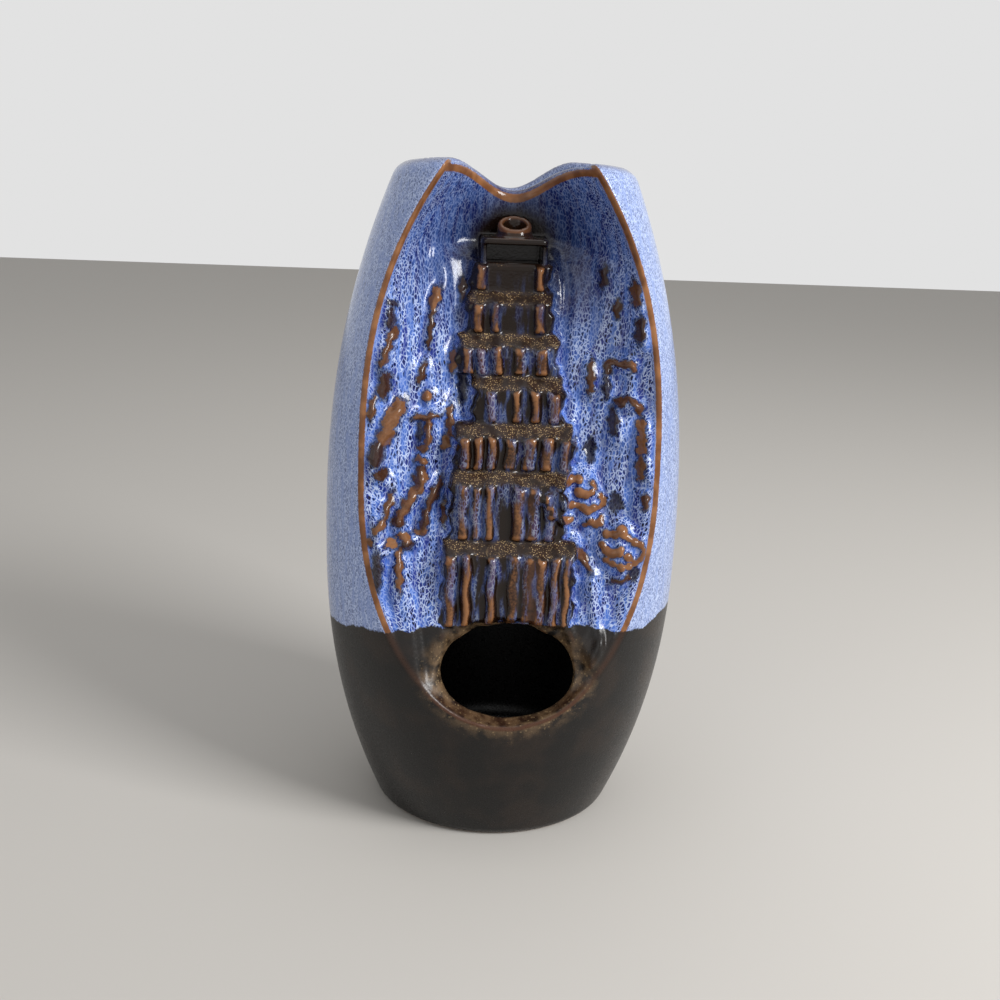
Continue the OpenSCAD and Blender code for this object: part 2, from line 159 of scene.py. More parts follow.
@dataclass(frozen=True)
class Rock:
    """One rock or break on a cliff: place across and up, half length, half width, lean, strength and tone."""

    x: float
    z: float
    length: float
    width: float
    lean: float
    strength: float
    tone: float = 0.5

    def left(self, x: Array, z: Array, spread: float = 0.0) -> Array:
        """Tells how far inside the rock's outline a place lies.

        Args:
            x: Places across, in millimetres.
            z: Heights, in millimetres.
            spread: How far the outline is moved outwards.

        Returns:
            1 at the rock's middle, 0 at the outline and less outside.
        """
        turn = math.radians(self.lean)
        across, up = x - self.x, z - self.z
        along = up * math.cos(turn) + across * math.sin(turn)
        aside = across * math.cos(turn) - up * math.sin(turn)
        return 1.0 - (along / (self.length + spread)) ** 2 - (aside / (self.width + spread)) ** 2

    def dome(self, x: Array, z: Array) -> Array:
        """Gives the height of a plain dome as a share of the full height."""
        return self.strength * np.sqrt(np.maximum(self.left(x, z), 0.0))

    def crag(self, x: Array, z: Array, skirt: float, share: float) -> Array:
        """Gives the height of a rock with a wide soft foot as a share of the full height.

        Args:
            x: Places across, in millimetres.
            z: Heights, in millimetres.
            skirt: How far the foot spreads round the rock.
            share: The foot's share of the height.

        Returns:
            The heights.
        """
        return mix(self.dome(x, z), self.strength * smooth(self.left(x, z, skirt)), share)


def rocks(*rows: tuple[float, ...]) -> tuple[Rock, ...]:
    """Turns rows of numbers into rocks."""
    return tuple(Rock(*row) for row in rows)


@dataclass(frozen=True)
class Tier:
    """One tier of the falls: share of the height at its edge, its left and right ends, and its ribs."""

    share: float
    left: float
    right: float
    ribs: tuple[float, ...]


@dataclass(frozen=True)
class Outline:
    """Outside of the vase and the line of its rim, in millimetres."""

    body_h: float = 190.0
    belly_w: float = 103.0
    belly_d: float = 88.0
    belly_z: float = 80.0
    base_w: float = 71.0
    mouth_w: float = 62.0
    flank_low: float = 2.2
    flank_high: float = 2.4
    foot_round: float = 2.5
    rim_dip: float = 8.0
    rim_fall: float = 1.5
    horn_gap: float = 36.0
    beyond: float = 5.0

    @property
    def depth_share(self) -> float:
        """Depth of the oval as a share of its width."""
        return self.belly_d / self.belly_w

    def half_width(self, z: Array) -> Array:
        """Gives half the width of the vase.

        Args:
            z: Heights, in millimetres. The curve goes on a little beyond the rim.

        Returns:
            Half the width at each height.
        """
        z = np.clip(z, 0.0, self.body_h + self.beyond)
        low = (self.belly_w - self.base_w) / 2 * np.maximum(1 - z / self.belly_z, 0) ** self.flank_low
        rise = np.maximum(z - self.belly_z, 0) / (self.body_h - self.belly_z)
        high = (self.belly_w - self.mouth_w) / 2 * rise**self.flank_high
        return self.belly_w / 2 - low - high

    def front_y(self, x: Array, z: Array, inset: float = 0.0) -> Array:
        """Gives the place of the plain front surface.

        Args:
            x: Places across, in millimetres.
            z: Heights, in millimetres.
            inset: How far behind the skin the surface lies.

        Returns:
            Places from front to back.
        """
        half = self.half_width(z) - inset
        deep = self.depth_share * (half + inset) - inset
        return -deep * np.sqrt(np.maximum(1 - (x / half) ** 2, 0))

    def distance(self, x: Array, y: Array, z: Array, inset: float = 0.0) -> Array:
        """Gives the signed distance to the plain outside.

        Args:
            x: Places across, in millimetres.
            y: Places from front to back, in millimetres.
            z: Heights, in millimetres.
            inset: How far within the skin the surface lies.

        Returns:
            The distances, negative inside.
        """
        wide = self.half_width(z) - inset
        deep = self.depth_share * (wide + inset) - inset
        reach = np.sqrt((x / wide) ** 2 + (y / deep) ** 2) + TINY
        slope = np.sqrt((x / wide**2) ** 2 + (y / deep**2) ** 2) / reach + TINY
        return (reach - 1.0) / slope

    def rim_z(self, x: Array) -> Array:
        """Gives the height of the rim's crest.

        Args:
            x: Places across, in millimetres.

        Returns:
            Heights, with a dip between the two horns.
        """
        dip = self.rim_dip * (1 + np.cos(np.pi * clamp(2 * np.abs(x) / self.horn_gap))) / 2
        fall = self.rim_fall * clamp((2 * np.abs(x) - self.horn_gap) / (self.mouth_w - self.horn_gap)) ** 2
        return self.body_h - dip - fall


@dataclass(frozen=True)
class Hollow:
    """Sizes of the clay wall and of the hollow behind it, in millimetres."""

    wall: float = 4.5
    floor_t: float = 6.0
    corner: float = 6.0
    seam: float = 2.5


@dataclass(frozen=True)
class ConeSeat:
    """Ledge, mound, smoke hole and slot at the head of the falls, in millimetres."""

    ledge_z: float = 170.0
    ledge_t: float = 1.9
    ledge_w: float = 18.0
    ledge_out: float = 1.5
    ledge_round: float = 2.0
    slot_w: float = 15.0
    slot_h: float = 4.6
    smoke_d: float = 6.2
    seat_y: float = 3.0
    seat_h: float = 3.8
    seat_w: float = 1.0
    seat_tip: float = 22.0
    joint: float = 1.0

    @property
    def seat_d(self) -> float:
        """Width of the mound at its top."""
        return self.smoke_d + 2 * self.seat_w

    @property
    def rise(self) -> float:
        """Height that the tipped top adds to the mound's cone."""
        return self.seat_d * math.tan(math.radians(self.seat_tip))


@dataclass(frozen=True)
class Pool:
    """Large hole at the foot of the falls, in millimetres."""

    width: float = 37.0
    height: float = 24.0
    z: float = 54.5
    x: float = 1.0
    funnel: float = 2.5
    reach: float = 0.35

    def nearness(self, x: Array, z: Array) -> Array:
        """Gives 1 at the hole's edge, less inside and more outside."""
        return np.sqrt((2 * (x - self.x) / self.width) ** 2 + (2 * (z - self.z) / self.height) ** 2)


TIERS: tuple[Tier, ...] = (
    Tier(0.2215, -0.97, 1.00, (-0.86, -0.62, -0.24, 0.10, 0.32, 0.50, 0.72, 0.90)),
    Tier(0.4164, -0.86, 0.83, (-0.70, -0.50, -0.30, 0.14, 0.36, 0.62)),
    Tier(0.5437, -0.80, 0.94, (-0.68, -0.48, -0.28, 0.00, 0.28, 0.55, 0.82)),
    Tier(0.6700, -0.55, 0.78, (-0.30, 0.08, 0.36, 0.64)),
    Tier(0.7816, -0.80, 0.67, (-0.66, -0.46, -0.22, 0.12, 0.44)),
    Tier(0.8942, -0.66, 0.58, (-0.52, -0.26, 0.40)),
    Tier(1.000, -0.61, 0.53, (-0.48, 0.40)),
)

# Rocks of the cliffs: place across and up, half length, half width, lean and strength
LEFT_ROCKS: tuple[Rock, ...] = rocks(
    (-21.2, 169, 9, 1.1, 6, 0.6), (-21.5, 149, 9, 1.9, 12, 0.9), (-32.7, 149.5, 4, 1.5, 0, 0.8),
    (-33.5, 140, 6, 1.5, 21, 0.9), (-24.3, 134, 4.5, 1.5, 6, 0.8), (-15.7, 137, 4.5, 1.3, 0, 0.7),
    (-37, 125, 4.5, 1.2, 12, 0.7), (-31.5, 122, 6, 2.4, 27, 1), (-35.5, 114, 6, 2.2, 12, 1),
    (-22.4, 123.6, 4.8, 1.1, 80, 1), (-22, 118, 5, 1.1, 0, 0.9), (-22.7, 127.8, 2.2, 1.2, 0, 0.8),
    (-16, 123.5, 5, 1.1, 0, 0.7), (-23.5, 111.5, 1.6, 1.4, 0, 0.8), (-24, 107, 3, 1.2, -20, 0.8),
    (-34.8, 107.2, 3.2, 1.3, -60, 0.8), (-26.8, 100.5, 5.6, 1.8, 38, 1), (-29.8, 95, 3.2, 1.6, 8, 0.9),
    (-20.8, 102.5, 4.4, 1.4, 25, 0.9), (-22.4, 96, 4.2, 1.4, 8, 0.9), (-27.5, 90.3, 4, 1.2, 76, 0.9),
    (-33.8, 96, 5.4, 1.4, 20, 0.9), (-17.4, 94.5, 5.4, 1.2, 0, 0.8), (-32.5, 88, 3.4, 1.3, 80, 0.9),
    (-35.2, 82.5, 5.4, 1.5, 0, 0.9), (-29.8, 81, 8, 1.6, 0, 1),
)

RIGHT_ROCKS: tuple[Rock, ...] = rocks(
    (32.6, 156, 4, 1.3, -4, 0.8), (23.2, 162, 2.5, 1.2, 0, 0.7), (34.3, 147.5, 4.8, 1.4, -4, 0.9),
    (21.3, 134.5, 6.8, 2.2, -4, 0.9), (25.8, 133, 4.8, 1.4, -4, 0.9), (29, 138.6, 3.6, 1.3, 86, 0.9),
    (29, 122.5, 5, 1.4, -3, 0.9), (31.8, 128.4, 3.6, 1.3, 88, 0.9), (36.4, 120.5, 6, 1.2, -6, 0.9),
    (37.4, 111.5, 4.6, 1.2, -12, 0.9), (37.4, 102.8, 2.4, 1.2, 0, 0.8), (20, 87, 4.6, 1.3, -32, 1),
    (23.2, 79.5, 3, 1.6, 0, 0.8), (32, 82.6, 4.2, 1.2, 66, 0.9), (35, 79, 5.4, 1.3, 10, 0.9),
    (25, 62, 5, 1.5, 20, 0.9), (29, 63, 5, 1.3, 15, 0.8),
)

# Places where the glaze breaks, as rocks, with a tone from dark to tan
BREAKS: tuple[Rock, ...] = rocks(
    (-32.2, 153.4, 0.8, 1.6, 0, 1, 0.15), (-32.3, 149.5, 2.4, 1.1, 0, 1, 0.2),
    (-31.8, 145.5, 1.8, 1.4, 45, 1, 0.6), (-33.5, 140.8, 4.8, 1.0, 19, 1, 0.6),
    (-34.0, 132.0, 4.0, 2.0, 10, 0.7, 0.3), (-37.2, 126.0, 3.4, 1.0, 8, 1, 0.6),
    (-31.4, 124.2, 4.8, 2.2, 34, 0.95, 0.75), (-33.4, 119.0, 2.8, 2.2, 32, 1, 0.72),
    (-35.7, 114.4, 3.4, 2.0, 8, 1, 0.28), (-34.5, 108.8, 1.9, 1.8, 20, 0.8, 0.35),
    (-32.4, 100.2, 3.8, 1.0, 15, 1, 0.6), (-34.7, 94.9, 2.5, 1.1, 45, 1, 0.8),
    (-21.0, 154.0, 3.2, 1.4, 18, 1, 0.8), (-22.1, 146.5, 6.5, 0.8, 6, 0.85, 0.42),
    (-24.2, 134.5, 3.4, 1.0, 14, 0.9, 0.45), (-22.7, 128.4, 1.6, 1.2, 0, 1, 0.95),
    (-22.9, 123.2, 4.1, 0.9, 84, 1, 0.62), (-22.2, 118.8, 4.1, 1.0, 0, 1, 0.7),
    (-23.6, 114.9, 1.7, 0.9, 90, 1, 0.7), (-24.5, 119.0, 2.6, 0.9, 0, 0.8, 0.12),
    (-16.4, 122.0, 4.6, 1.0, 0, 1, 0.65), (-17.4, 115.8, 2.3, 1.2, 15, 1, 0.8),
    (-15.9, 137.4, 3.2, 1.0, 4, 1, 0.75), (-13.2, 132.0, 5.5, 1.3, 0, 1, 0.05),
    (-13.6, 156.2, 3.0, 1.1, 0, 0.9, 0.25), (-24.0, 111.9, 1.9, 1.0, 85, 1, 0.8),
    (-23.9, 109.1, 1.8, 1.0, 75, 1, 0.5), (-24.9, 106.7, 1.5, 1.3, 0, 1, 0.55),
    (-23.0, 107.0, 2.0, 0.9, 10, 1, 0.75), (-24.5, 104.4, 1.7, 1.3, 40, 1, 0.72),
    (-26.2, 102.4, 1.6, 1.5, 40, 1, 0.75), (-27.6, 100.3, 1.6, 1.4, 40, 1, 0.62),
    (-28.8, 98.1, 1.7, 1.5, 40, 1, 0.7), (-30.0, 95.9, 1.7, 1.6, 30, 1, 0.5),
    (-20.3, 102.6, 4.8, 1.3, 28, 0.95, 0.5), (-22.6, 96.2, 3.8, 1.2, 10, 0.9, 0.5),
    (-17.6, 97.5, 3.8, 0.8, 0, 0.95, 0.5), (-28.2, 91.9, 2.0, 1.2, 85, 1, 0.85),
    (-23.5, 92.8, 2.1, 1.0, 80, 1, 0.75), (-27.0, 89.4, 1.5, 1.5, 0, 1, 0.3),
    (-31.6, 90.1, 1.7, 1.3, 70, 1, 0.95), (-29.3, 83.3, 6.4, 1.1, -3, 0.95, 0.72),
    (-35.1, 83.0, 5.8, 1.4, 0, 0.8, 0.15), (-37.2, 90.2, 1.4, 1.2, 0, 0.9, 0.6),
    (23.9, 161.0, 3.6, 1.0, 0, 0.85, 0.25), (27.7, 153.0, 2.8, 1.0, 0, 0.95, 0.4),
    (31.5, 157.8, 3.2, 1.0, -8, 1, 0.6), (33.1, 148.3, 3.9, 1.1, 0, 1, 0.28),
    (25.7, 137.5, 1.7, 1.2, -30, 1, 0.35), (29.0, 139.0, 3.8, 0.9, 88, 1, 0.55),
    (32.2, 138.4, 1.7, 1.1, 0, 1, 0.75), (25.8, 132.3, 3.2, 1.1, 0, 1, 0.12),
    (21.5, 134.5, 5.0, 1.1, 0, 0.95, 0.5), (29.3, 128.9, 1.9, 1.2, 75, 1, 0.5),
    (32.4, 129.6, 1.9, 0.9, -62, 1, 0.6), (34.2, 127.6, 1.7, 1.0, -25, 1, 0.62),
    (34.9, 122.8, 2.6, 1.1, 0, 1, 0.95), (35.3, 118.0, 2.8, 1.1, 0, 1, 0.85),
    (35.3, 111.8, 3.8, 1.0, 0, 1, 0.65), (37.0, 103.0, 2.4, 1.1, 0, 0.9, 0.5),
    (27.7, 123.4, 3.8, 1.2, 0, 0.9, 0.2), (22.2, 115.0, 3.0, 1.4, 0, 1, 0.05),
    (17.5, 116.2, 2.0, 1.1, 0, 1, 0.4), (29.6, 101.6, 2.4, 1.8, 0, 1, 0.05),
    (20.9, 86.6, 4.6, 1.0, -32, 1, 0.6), (34.6, 83.4, 2.0, 1.4, 0, 1, 0.05),
    (32.0, 81.6, 4.0, 1.0, 66, 0.9, 0.5),
)

# Mounds of foliage: place across and up, half height, half width, lean and strength
MOUNDS: tuple[Rock, ...] = rocks(
    (18.5, 103, 8.6, 7.4, 0, 1.0), (31, 90.5, 7.4, 7.0, 0, 0.9), (9.5, 103.3, 2.6, 2.8, 0, 0.4),
)

# Lobes of the puffs of foliage: place across and up, and radius
LOBES: tuple[tuple[float, float, float], ...] = (
    (17.0, 107.8, 1.5), (19.0, 107.7, 1.6), (22.8, 106.9, 1.2), (23.6, 106.1, 1.0),
    (12.9, 107.3, 1.6), (14.3, 106.6, 1.3), (16.0, 107.0, 1.6),
    (19.2, 104.3, 1.8), (21.0, 103.9, 1.6), (22.7, 104.5, 1.3), (23.9, 105.2, 0.9),
    (25.3, 103.3, 1.2), (26.2, 102.2, 1.3), (26.1, 101.0, 1.3), (25.1, 100.2, 1.2),
    (14.1, 103.3, 1.3), (14.6, 102.0, 1.4), (17.3, 101.0, 1.5), (19.0, 100.8, 1.3),
    (20.4, 100.3, 1.6), (21.7, 99.6, 1.7), (23.3, 100.3, 1.5), (10.8, 100.8, 1.6), (11.4, 99.2, 1.7),
    (14.6, 97.3, 1.5), (16.0, 96.6, 1.7), (17.2, 97.0, 1.3), (21.3, 95.0, 1.2), (22.9, 96.1, 1.5),
    (24.2, 95.5, 1.5), (25.4, 96.2, 1.5), (25.8, 97.4, 1.1), (9.4, 103.6, 1.4),
    (27.0, 93.5, 1.5), (28.9, 93.7, 1.5), (31.0, 94.9, 1.9), (31.6, 93.9, 1.4),
    (32.9, 93.1, 1.3), (34.6, 92.0, 1.5), (36.2, 91.4, 1.4),
    (25.9, 90.7, 1.4), (27.0, 89.3, 1.6), (28.6, 88.6, 1.7), (30.1, 89.1, 1.6), (30.9, 90.1, 1.3),
    (32.8, 88.1, 1.5), (33.7, 87.6, 1.1), (37.2, 90.0, 1.1), (37.1, 88.7, 1.2), (36.4, 87.4, 1.3),
    (27.0, 86.6, 1.3), (28.8, 85.7, 1.4), (31.0, 85.2, 1.5), (33.2, 85.6, 1.4), (35.0, 86.4, 1.3),
)


@dataclass
class Carving:
    """The carved recess: its edge, its smooth floor, the stepped falls, the cliffs' rocks and the pines."""

    outline: Outline
    hollow: Hollow
    seat: ConeSeat
    pool: Pool
    recess_w: float = 80.0
    recess_z: float = 106.0
    recess_low: float = 42.0
    recess_back: float = 2.5
    collar_back: float = 25.5
    edge_low: float = 2.2
    edge_high: float = 2.8
    fall_power: float = 0.6
    fall_soft: float = 0.05
    foot_power: float = 3.0
    foot_share: float = 0.25
    cliff_power: float = 2.8
    gully: float = 1.5
    bend_z: float = 175.0
    falls_z: float = 67.0
    falls_w: float = 36.0
    falls_front: float = 30.6
    falls_run: float = 23.0
    tread_slope: float = 0.7
    rib_h: float = 1.8
    rib_w: float = 3.4
    rock_h: float = 2.9
    rock_skirt: float = 2.6
    skirt_share: float = 0.5
    fold_h: float = 0.5
    fold_w: float = 7.4
    break_h: float = 0.95
    pit_h: float = 1.0
    pit_tone: float = 0.1
    mound_h: float = 3.0
    lobe_h: float = 0.95
    lobe_grow: float = 0.94
    rib_sway: float = 0.22
    break_sway: float = 0.36
    tread_sway: float = 0.38
    end_sway: float = 0.6
    rib_start: float = 0.4
    rib_mean: float = 0.9
    rib_vary: float = 0.18
    rib_vary_w: float = 0.2
    tread_lip: float = 0.3
    buried: float = 0.5
    break_round: float = 0.7
    proud: float = 1.0
    turn_in: float = 1.2
    wall_swell: float = 4.0
    edge_soft: float = 3.0
    end_soft: float = 1.2
    rib_soft: float = 1.4
    glaze_soft: float = 0.42
    wall_soft: float = 1.2
    fold_z: float = 172.0
    fold_fade: float = 12.0
    half_grid: float = 58.0
    under_grid: float = 2.0
    over_grid: float = 6.0
    step: float = 0.25

    def edge_x(self, z: Array) -> Array:
        """Gives half the width of the recess.

        Args:
            z: Heights, in millimetres.

        Returns:
            Half the width at each height, 0 below the recess.
        """
        fall = np.maximum(self.recess_z - z, 0) / (self.recess_z - self.recess_low)
        low = np.sqrt(np.maximum(1 - fall**self.edge_low, 0))
        rise = np.maximum(z - self.recess_z, 0) / (self.outline.body_h - self.recess_z)
        high = mix(self.recess_w, self.outline.horn_gap, rise**self.edge_high) / 2
        return np.where(z < self.recess_z, self.recess_w / 2 * low, high)

    def low_edge_z(self, x: Array) -> Array:
        """Gives the height of the recess's edge at a place below its middle."""
        inside = np.maximum(1 - (2 * x / self.recess_w) ** 2, 0)
        return self.recess_z - (self.recess_z - self.recess_low) * inside ** (1 / self.edge_low)

    def within(self, x: Array, z: Array) -> Array:
        """Gives the distance to the recess's edge.

        Args:
            x: Places across, in millimetres.
            z: Heights, in millimetres.

        Returns:
            The distances, positive inside the recess.
        """
        across = self.edge_x(z) - np.abs(x)
        up = z - self.low_edge_z(x)
        slanted = across * np.abs(up) / np.sqrt(across**2 + up**2 + TINY)
        outside = np.minimum(slanted, np.where(self.edge_x(z) <= 0, up, across))
        return np.where(z < self.recess_z, np.where((across > 0) & (up > 0), slanted, outside), across)

    def middle_y(self, z: Array) -> Array:
        """Gives the recess's smooth floor along its middle.

        Args:
            z: Heights, in millimetres.

        Returns:
            Places from front to back.
        """
        low = self.outline.front_y(np.float64(0), np.float64(self.recess_low))
        down = clamp((self.seat.ledge_z - z) / (self.seat.ledge_z - self.recess_low))
        fall = down**self.fall_power * smooth(down / self.fall_soft)
        return mix(self.recess_back, low, mix(fall, down**self.foot_power, self.foot_share))

    def floor_y(self, x: Array, z: Array) -> Array:
        """Gives the smooth floor of the recess with the collar that leans to the rim.

        Args:
            x: Places across, in millimetres.
            z: Heights, in millimetres.

        Returns:
            Places from front to back.
        """
        out = self.outline
        edge = np.maximum(np.maximum(self.edge_x(z), np.abs(x)), 1.0)
        at_edge = out.front_y(np.minimum(edge, out.half_width(z) - 0.01), z)
        y = mix(at_edge, self.middle_y(z) + self.gully, 1 - (np.abs(x) / edge) ** self.cliff_power)
        bend = smooth((z - self.bend_z) / (out.rim_z(x) - self.bend_z))
        horn = out.front_y(np.float64(out.horn_gap / 2), np.float64(out.body_h))
        rim = mix(horn + self.collar_back, horn, clamp(np.abs(x) / edge) ** 2)
        return mix(y, rim, bend)

    @property
    def falls_top(self) -> float:
        """Height of the top tread, under the slot."""
        return self.seat.ledge_z - self.seat.ledge_t - self.seat.slot_h

    def tier_z(self, i: int) -> float:
        """Gives the height of a tier's edge."""
        return self.falls_z if i < 0 else mix(self.falls_z, self.falls_top, TIERS[i].share)

    def tier_y(self, i: int) -> float:
        """Gives the place of a tier's riser."""
        return self.falls_run * i / (len(TIERS) - 1) - self.falls_front

    @property
    def top_front(self) -> float:
        """Place of the top tier's riser."""
        return self.tier_y(len(TIERS) - 1)

    def foot_z(self, i: int) -> float:
        """Gives the height of a riser's foot."""
        rise = self.tread_slope * (self.tier_y(i) - self.tier_y(i - 1))
        return self.falls_z if i == 0 else self.tier_z(i - 1) + rise

    def falls(self, x: Array, z: Array) -> tuple[Array, Array, Array, Array]:
        """Shapes the stepped face of the falls.

        Args:
            x: Places across, in millimetres.
            z: Heights, in millimetres.

        Returns:
            The place of the face, the share of it that shows, and masks of the treads and of the ribs.
        """
        face = np.zeros_like(x)
        share = np.zeros_like(x)
        treads = np.zeros_like(x)
        ribs = np.zeros_like(x)
        half = self.falls_w / 2
        for i, tier in enumerate(TIERS):
            foot, top = self.foot_z(i), self.tier_z(i)
            front = self.tier_y(i)
            back = self.tier_y(i + 1) if i + 1 < len(TIERS) else self.recess_back
            end = self.foot_z(i + 1) if i + 1 < len(TIERS) else self.falls_top
            here = (z >= foot) & (z < max(end, top))
            long, short = Wave(0.42, 0.0, 2.1 * i), Wave(1.05, 0.0, 1.3 * i, 0.6)
            top = top + self.tread_sway * (swayed(0.0, x, z, (long, short)) - short.high)
            shift = self.end_sway * swayed(0.0, x, z, (Wave(0.0, 0.8, 1.7 * i), Wave(0.0, 1.9, 0.0, 0.5)))
            bump = np.zeros_like(x)
            for k, rib in enumerate(tier.ribs):
                turn = 2.3 * i + 1.9 * k
                sway = self.rib_sway * np.sin(0.55 * z + 3.1 * turn)
                wide = 1.0 + self.rib_vary_w * math.sin(2.7 * turn) + 0.07 * np.sin(0.6 * z + turn)
                wide = self.rib_w * wide
                left = np.maximum(1 - (2 * (x - rib * half - sway) / wide) ** 2, 0)
                high = self.rib_mean + self.rib_vary * math.sin(4.1 * turn)
                bump = np.maximum(bump, high * np.sqrt(left * clamp((top - z) / self.rib_soft)))
            bump *= clamp(self.rib_start + (z - foot) / self.rib_soft) * (z <= top)
            tread = clamp((z - top) / (self.tread_slope * (back - front)))
            ends = clamp((x - tier.left * half - shift) / self.end_soft + 1)
            ends = ends * clamp((tier.right * half + shift - x) / self.end_soft + 1)
            face = np.where(here, mix(front - self.rib_h * bump, back, tread), face)
            share = np.where(here, ends, share)
            treads = np.where(here, ends * (z > top - self.tread_lip), treads)
            ribs = np.where(here, ends * bump, ribs)
        share = np.where(z > self.falls_top, 0.0, share)
        return face, share, treads, ribs

    def puffs(self, x: Array, z: Array) -> Array:
        """Raises the lobed puffs of foliage.

        Args:
            x: Places across, in millimetres.
            z: Heights, in millimetres.

        Returns:
            The puffs' heights, in millimetres.
        """
        out = np.zeros_like(x)
        for px, pz, size in LOBES:
            radius = size * self.lobe_grow
            left = 1 - ((x - px) ** 2 + (z - pz) ** 2) / radius**2
            out = np.maximum(out, self.lobe_h * radius * np.sqrt(np.maximum(left, 0)))
        return out

    def folds(self, x: Array, z: Array) -> Array:
        """Raises the upright folds that the glaze runs down between.

        Args:
            x: Places across, in millimetres.
            z: Heights, in millimetres. The folds fade out towards the ledge.

        Returns:
            The folds' heights, in millimetres.
        """
        turn = 2 * np.pi / self.fold_w
        aside = swayed(x, x, z, (Wave(0.0, 0.07, 0.4, 1.6), Wave(0.0, 0.19, 0.0, 0.7)))
        height = swayed(0.0, aside, z, (Wave(turn, 0.0),))
        height = swayed(height, x, z, (Wave(0.58 * turn, -0.06, 0.0, 0.6),))
        height = swayed(height, aside, z, (Wave(1.9 * turn, 0.1, 0.0, 0.35),))
        return self.fold_h * height * smooth((self.fold_z - z) / self.fold_fade)

    def breaks(self, x: Array, z: Array) -> tuple[Array, Array, Array]:
        """Finds the places where the glaze breaks to brown or runs into dark pits.

        Args:
            x: Places across, in millimetres.
            z: Heights, in millimetres.

        Returns:
            How far inside a break each place lies, its tone, and the relief in millimetres.
        """
        most = np.full_like(x, -1.0)
        tone = np.full_like(x, 0.5)
        relief = np.zeros_like(x)
        aside = x + self.break_sway * swayed(0.0, x, z, (Wave(0.9, 1.7), Wave(-1.3, 3.9, 0.0, 0.45)))
        above = z + self.break_sway * swayed(0.0, x, z, (Wave(1.5, 0.6), Wave(3.3, -0.8, 0.0, 0.5)))
        for spot in BREAKS:
            left = spot.left(aside, above)
            here = left + spot.strength - 1.0
            tone = np.where(here > most, spot.tone, tone)
            most = np.maximum(most, here)
            high = self.break_h if spot.tone > self.pit_tone else -self.pit_h
            dome = high * np.maximum(left, 0.0) ** self.break_round
            relief = np.where(np.abs(dome) > np.abs(relief), dome, relief)
        return most, tone, relief

    def tables(self) -> "Tables":
        """Works out the carved surfaces over a fine grid.

        Returns:
            The tables of the front surface, of the hollow's front wall and of the masks for the glaze.
        """
        out = self.outline
        xs = np.arange(-self.half_grid, self.half_grid + self.step, self.step)
        zs = np.arange(-self.under_grid, out.body_h + self.over_grid, self.step)
        x, z = np.meshgrid(xs, zs, indexing="ij")
        inside = self.within(x, z)
        shade = clamp(inside / self.edge_soft)
        base = self.floor_y(x, z)
        rocks = np.zeros_like(x)
        for rock in LEFT_ROCKS + RIGHT_ROCKS:
            rocks = np.maximum(rocks, rock.crag(x, z, self.rock_skirt, self.skirt_share))
        most, tone, relief = self.breaks(x, z)
        rocky = base - self.rock_h * shade * rocks - shade * (relief + self.folds(x, z))
        face, share, treads, ribs = self.falls(x, z)
        carved = np.where(share > 0, mix(rocky, np.minimum(rocky, face), share), rocky)
        shown = share * (face < rocky + self.buried)
        mound = np.zeros_like(x)
        for rock in MOUNDS:
            mound = np.maximum(mound, rock.dome(x, z))
        puffs = self.puffs(x, z)
        funnel = self.pool.funnel * smooth((1 + self.pool.reach - self.pool.nearness(x, z)) / self.pool.reach)
        carved = carved - self.mound_h * mound - puffs + funnel
        half = out.half_width(z)
        skin = out.front_y(np.clip(x, -half + 0.05, half - 0.05), z)
        carved = np.where(inside > 0, np.maximum(carved, skin - self.proud), skin + self.turn_in * inside)
        carved = blur(carved, self.glaze_soft / self.step)

        ratio = clamp(np.abs(x) / np.maximum(self.edge_x(z), 1.0))
        wall = self.hollow.wall
        behind = wall * (1 + self.wall_swell * ratio**2 * (1 - ratio))
        front = out.front_y(np.clip(x, -half + wall + 0.1, half - wall - 0.1), z, wall)
        back = np.maximum(front, base + behind)
        back = np.where(z < self.recess_low, front, back)
        masks = {
            "breaks": (np.where(inside > 0.6, np.clip(most, -1.0, 1.0), -1.0), 0.8),
            "tone": (tone, 0.8),
            "falls": (np.where(inside > 0, shown, 0.0), 2.0),
            "treads": (treads * shown, 1.5),
            "ribs": (ribs * shown, 1.0),
            "puffs": (clamp(puffs), 0.7),
            "recess": (np.clip(inside, -6.0, 12.0), 1.0),
        }
        values = {name: blur(mask, spread) for name, (mask, spread) in masks.items()}
        values |= {"carved": carved, "behind": blur(back, self.wall_soft / self.step)}
        return Tables(xs[0], zs[0], self.step, values)


@dataclass
class Tables:
    """Values over a regular grid of places across and heights, read between the grid's points."""

    x0: float
    z0: float
    step: float
    values: dict[str, Array]
    steepest: float = 3.0

    def read(self, name: str, x: Array, z: Array) -> Array:
        """Reads a table at any places.

        Args:
            name: The table's name.
            x: Places across, in millimetres.
            z: Heights, in millimetres.

        Returns:
            The values at those places.
        """
        table = self.values[name]
        u = np.clip((x - self.x0) / self.step, 0, table.shape[0] - 1.001)
        v = np.clip((z - self.z0) / self.step, 0, table.shape[1] - 1.001)
        i, k = u.astype(np.int64), v.astype(np.int64)
        a, b = u - i, v - k
        low = mix(table[i, k], table[i + 1, k], a)
        high = mix(table[i, k + 1], table[i + 1, k + 1], a)
        return mix(low, high, b)

    def add_slope(self, name: str) -> None:
        """Adds the table by which a depth turns into a distance square to the surface.

        Args:
            name: The name of the surface's table.
        """
        dx, dz = np.gradient(self.values[name], self.step)
        slope = 1.0 / np.sqrt(1 + np.minimum(dx**2 + dz**2, self.steepest**2))
        self.values[name + "_slope"] = blur(slope, 2.0)


